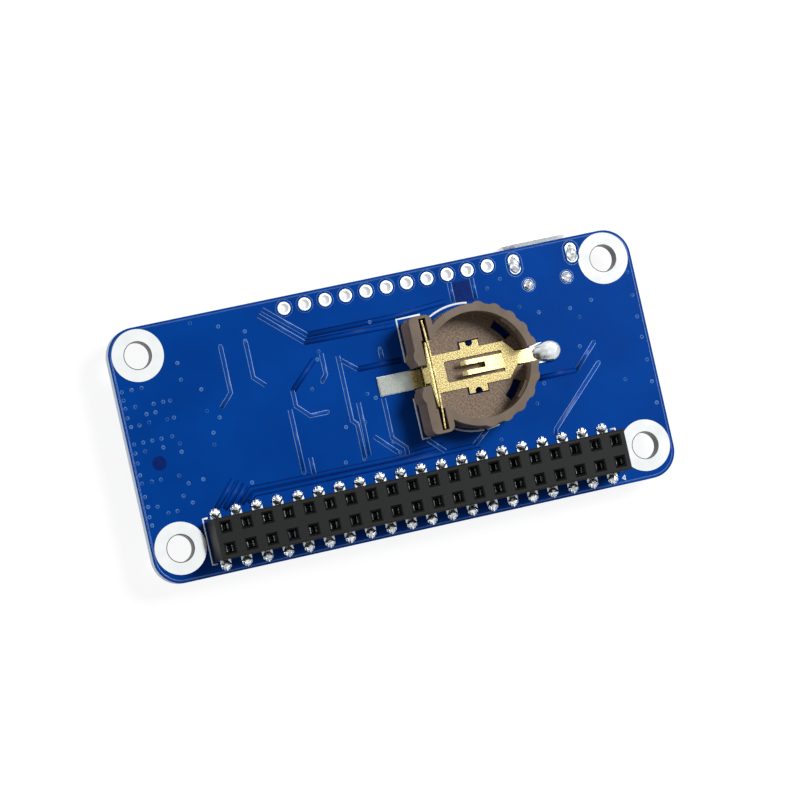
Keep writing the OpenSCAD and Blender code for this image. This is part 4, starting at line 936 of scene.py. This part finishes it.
def blade_hem():
    """The side blade's edge folded over towards the terminal block: a narrow lens of sheet just under its top edge,
    with a strap in its middle."""
    low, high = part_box("cell_side_contact")
    middle = (low.y + high.y) / 2 / MM
    back = high.x / MM - HEM_SHEET
    span = 2 * HEM_STEPS[-1] + HEM_BLUNT
    front_edge = [(back - t * t / (2 * HEM_BOW), middle + t) for t in HEM_STEPS]
    rear_edge = [(back - t * t / (2 * HEM_BOW) - HEM_END - HEM_SWELL * math.cos(math.pi * t / span), middle + t)
                 for t in reversed(HEM_STEPS)]
    strap = [(back + x, middle + y) for x, y in STRAP]
    piece = flat_outline(front_edge + [p for p in rear_edge if p[1] > strap[0][1]] + strap
                         + [p for p in rear_edge if p[1] < strap[-1][1]])
    raise_steps([(HEM_SHEET, 1.0)])
    face_outward()
    bpy.ops.mesh.bevel(offset=HEM_EDGE * MM, segments=2, affect="EDGES")
    bpy.ops.transform.translate(value=(0, 0, high.z - HEM_DROP * MM - HEM_SHEET * MM))
    bpy.ops.object.mode_set(mode="OBJECT")
    bpy.ops.object.shade_smooth_by_angle(angle=SMOOTH_ANGLE)
    return keep_piece(piece, "blade_hem", SPRING_GOLD)


blade_hem()


# Solder joints, in mm: half an outline, and the steps of height and scale that it is drawn up in

# From the foot of the lead at the socket's wall
JOINT_HALF = [(0.34, 0.0), (0.44, 0.3), (0.76, 0.56), (0.7, 0.74), (0.46, 0.76), (0.52, 1.06), (0.38, 1.14),
              (0.22, 0.98), (0.14, 1.34), (0.0, 1.4)]
JOINT_OUTLINE = JOINT_HALF + [(-x, y) for x, y in JOINT_HALF[-2::-1]]
JOINT_STEPS = [(0.12, 0.97), (0.18, 0.82), (0.12, 0.62)]
SOCKET_PITCH = 2.54
SOCKET_COLUMNS = 20
# From the near end of the tail's solder
TAIL_HALF = [(-0.25, 0.42), (0.15, 0.84), (0.9, 1.02), (1.7, 1.3), (2.5, 1.4), (3.2, 1.14), (3.66, 0.6), (3.8, 0.0)]
TAIL_OUTLINE = TAIL_HALF + [(x, -y) for x, y in TAIL_HALF[-2::-1]]
TAIL_STEPS = [(0.3, 0.97), (0.3, 0.84), (0.18, 0.6)]
NECK_LENGTH = 1.0
NECK_SHARE = 0.55
# About the middle of a leg or peg of the port
LEG_HALF = [(0.0, 1.16), (0.12, 0.98), (0.44, 0.66), (0.66, 0.1), (0.68, -0.4), (0.52, -0.86), (0.24, -1.1),
            (0.0, -1.16)]
LEG_OUTLINE = LEG_HALF + [(-x, y) for x, y in LEG_HALF[-2:0:-1]]
LEG_STEPS = [(0.14, 0.97), (0.2, 0.78), (0.12, 0.5), (0.1, 0.7), (-0.02, 0.5)]
PEG_OUTLINE = arc(0.0, 0.0, 0.68, 0, 330, 11)
PEG_STEPS = [(0.14, 0.97), (0.2, 0.74), (0.12, 0.5), (0.1, 0.7), (-0.02, 0.5)]


def socket_joints():
    """Solder round the socket's leads: a toe and two side fillets that run out over the land, copied to each lead."""
    low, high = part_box("socket_housing")
    piece = flat_outline(JOINT_OUTLINE)
    raise_steps(JOINT_STEPS)
    smooth_piece()
    columns = [(i - (SOCKET_COLUMNS - 1) / 2) * SOCKET_PITCH * MM for i in range(SOCKET_COLUMNS)]
    places = [(x, high.y, BOARD_TOP, 0) for x in columns] + [(x, low.y, BOARD_TOP, 180) for x in columns]
    joints = keep_piece(set_down(piece, places), "socket_joints", SOLDER)
    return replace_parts(joints, "socket_solder")


def sink_neck():
    """Lowers the neck of the tail's solder to a share of its height."""
    bpy.ops.mesh.select_mode(type="VERT")
    bpy.ops.mesh.select_all(action="DESELECT")
    bpy.ops.object.mode_set(mode="OBJECT")
    for corner in bpy.context.object.data.vertices:
        corner.select = corner.co.x < NECK_LENGTH * MM
    bpy.ops.object.mode_set(mode="EDIT")
    bpy.ops.transform.resize(value=(1, 1, NECK_SHARE), center_override=(0, 0, 0))


def tail_joint():
    """Solder over the tail of the cell's floor plate: a neck that swells to a round drop."""
    low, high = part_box("cell_contact_solder")
    piece = flat_outline(TAIL_OUTLINE)
    raise_steps(TAIL_STEPS)
    sink_neck()
    smooth_piece()
    bpy.ops.transform.translate(value=(low.x, (low.y + high.y) / 2, BOARD_TOP))
    joint = keep_piece(piece, "tail_joint", HAND_SOLDER)
    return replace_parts(joint, "cell_contact_solder")


def port_joints():
    """Solder round the port's legs and pegs: a cone that climbs to the cut tip in its middle."""
    groups = []
    for outline, steps, places in ((LEG_OUTLINE, LEG_STEPS, LEG_PLACES), (PEG_OUTLINE, PEG_STEPS, PEG_PLACES)):
        piece = flat_outline(outline)
        raise_steps(steps)
        smooth_piece()
        groups.append(set_down(piece, [(x * MM, y * MM, BOARD_TOP, 0) for x, y in places]))
    groups[0].select_set(True)
    bpy.ops.object.join()
    joints = keep_piece(bpy.context.object, "port_joints", SOLDER)
    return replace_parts(joints, "data_port_solder")


socket_joints()
tail_joint()
port_joints()


# Floor, light and camera

# Light from the floor and the surroundings: what falls on the part, and what is seen
FLOOR_GLOW = (0.6, 0.9)
SKY_GLOW = (0.15, 1.0)
FLOOR_SIZE = 4
# The photograph's camera, found from the places of the pins and the corner holes: metres, degrees and mm of lens
CAMERA_PLACE = (-0.12288, -0.01665, 0.47698)
CAMERA_TURN = (5.1307, -13.7329, -13.0427)
CAMERA_LENS = 187.71


def pale_floor():
    """A white table under the part, wide enough to fill every view. Its own colour is a grey that keeps the shadow, a
    glow lifts it to white, and a weaker glow stands for the light that it throws back on the part's lower edges."""
    start_piece()
    bpy.ops.mesh.primitive_plane_add(size=FLOOR_SIZE, location=(0, 0, cad_low.z))
    floor = bpy.context.object
    floor.name = "floor"
    material, tree, shader = finish("matt_white_table", Base_Color=linear("#707070"), Roughness=0.9,
                                    Specular_IOR_Level=0.0)
    glow = spread(tree, seen_rays(tree), 0.0, 1.0, *FLOOR_GLOW)
    lift = add(tree, "ShaderNodeEmission", None, {"Strength": glow})
    both = add(tree, "ShaderNodeAddShader", None, {0: shader.outputs[0], 1: lift.outputs[0]})
    tree.links.new(both.outputs[0], tree.nodes["Material Output"].inputs["Surface"])
    floor.data.materials.append(material)


def soft_lamp(name, place, size, power):
    """A round lamp that faces the part."""
    start_piece()
    bpy.ops.object.light_add(type="AREA", location=place)
    lamp = bpy.context.object
    lamp.name = name
    lamp.data.shape = "DISK"
    lamp.data.size = size
    lamp.data.energy = power
    lamp.rotation_mode = "QUATERNION"
    lamp.rotation_quaternion = lamp.location.to_track_quat("Z", "Y")


def studio_light():
    """Soft white surroundings, a soft lamp from the right and the far side, and a weak low one from the left."""
    world = bpy.data.worlds.new("studio")
    bpy.context.scene.world = world
    world.use_nodes = True
    tree = world.node_tree
    sky = tree.nodes["Background"]
    sky.inputs["Color"].default_value = (1, 1, 1, 1)
    tree.links.new(spread(tree, seen_rays(tree), 0.0, 1.0, *SKY_GLOW), sky.inputs["Strength"])
    soft_lamp("key_lamp", place=(0.33, 0.16, 0.43), size=0.24, power=3.3)
    soft_lamp("fill_lamp", place=(-0.45, 0.02, 0.05), size=0.1, power=0.55)


def photo_camera():
    """The photograph's view: a long lens from the left, almost straight down on the socket side."""
    start_piece()
    bpy.ops.object.camera_add(location=CAMERA_PLACE, rotation=[math.radians(a) for a in CAMERA_TURN])
    camera = bpy.context.object
    camera.data.sensor_width = 36
    camera.data.lens = CAMERA_LENS
    camera.data.clip_start = 0.01
    camera.data.clip_end = 10
    bpy.context.scene.camera = camera


pale_floor()
studio_light()
photo_camera()
bpy.context.scene.view_settings.view_transform = "Standard"
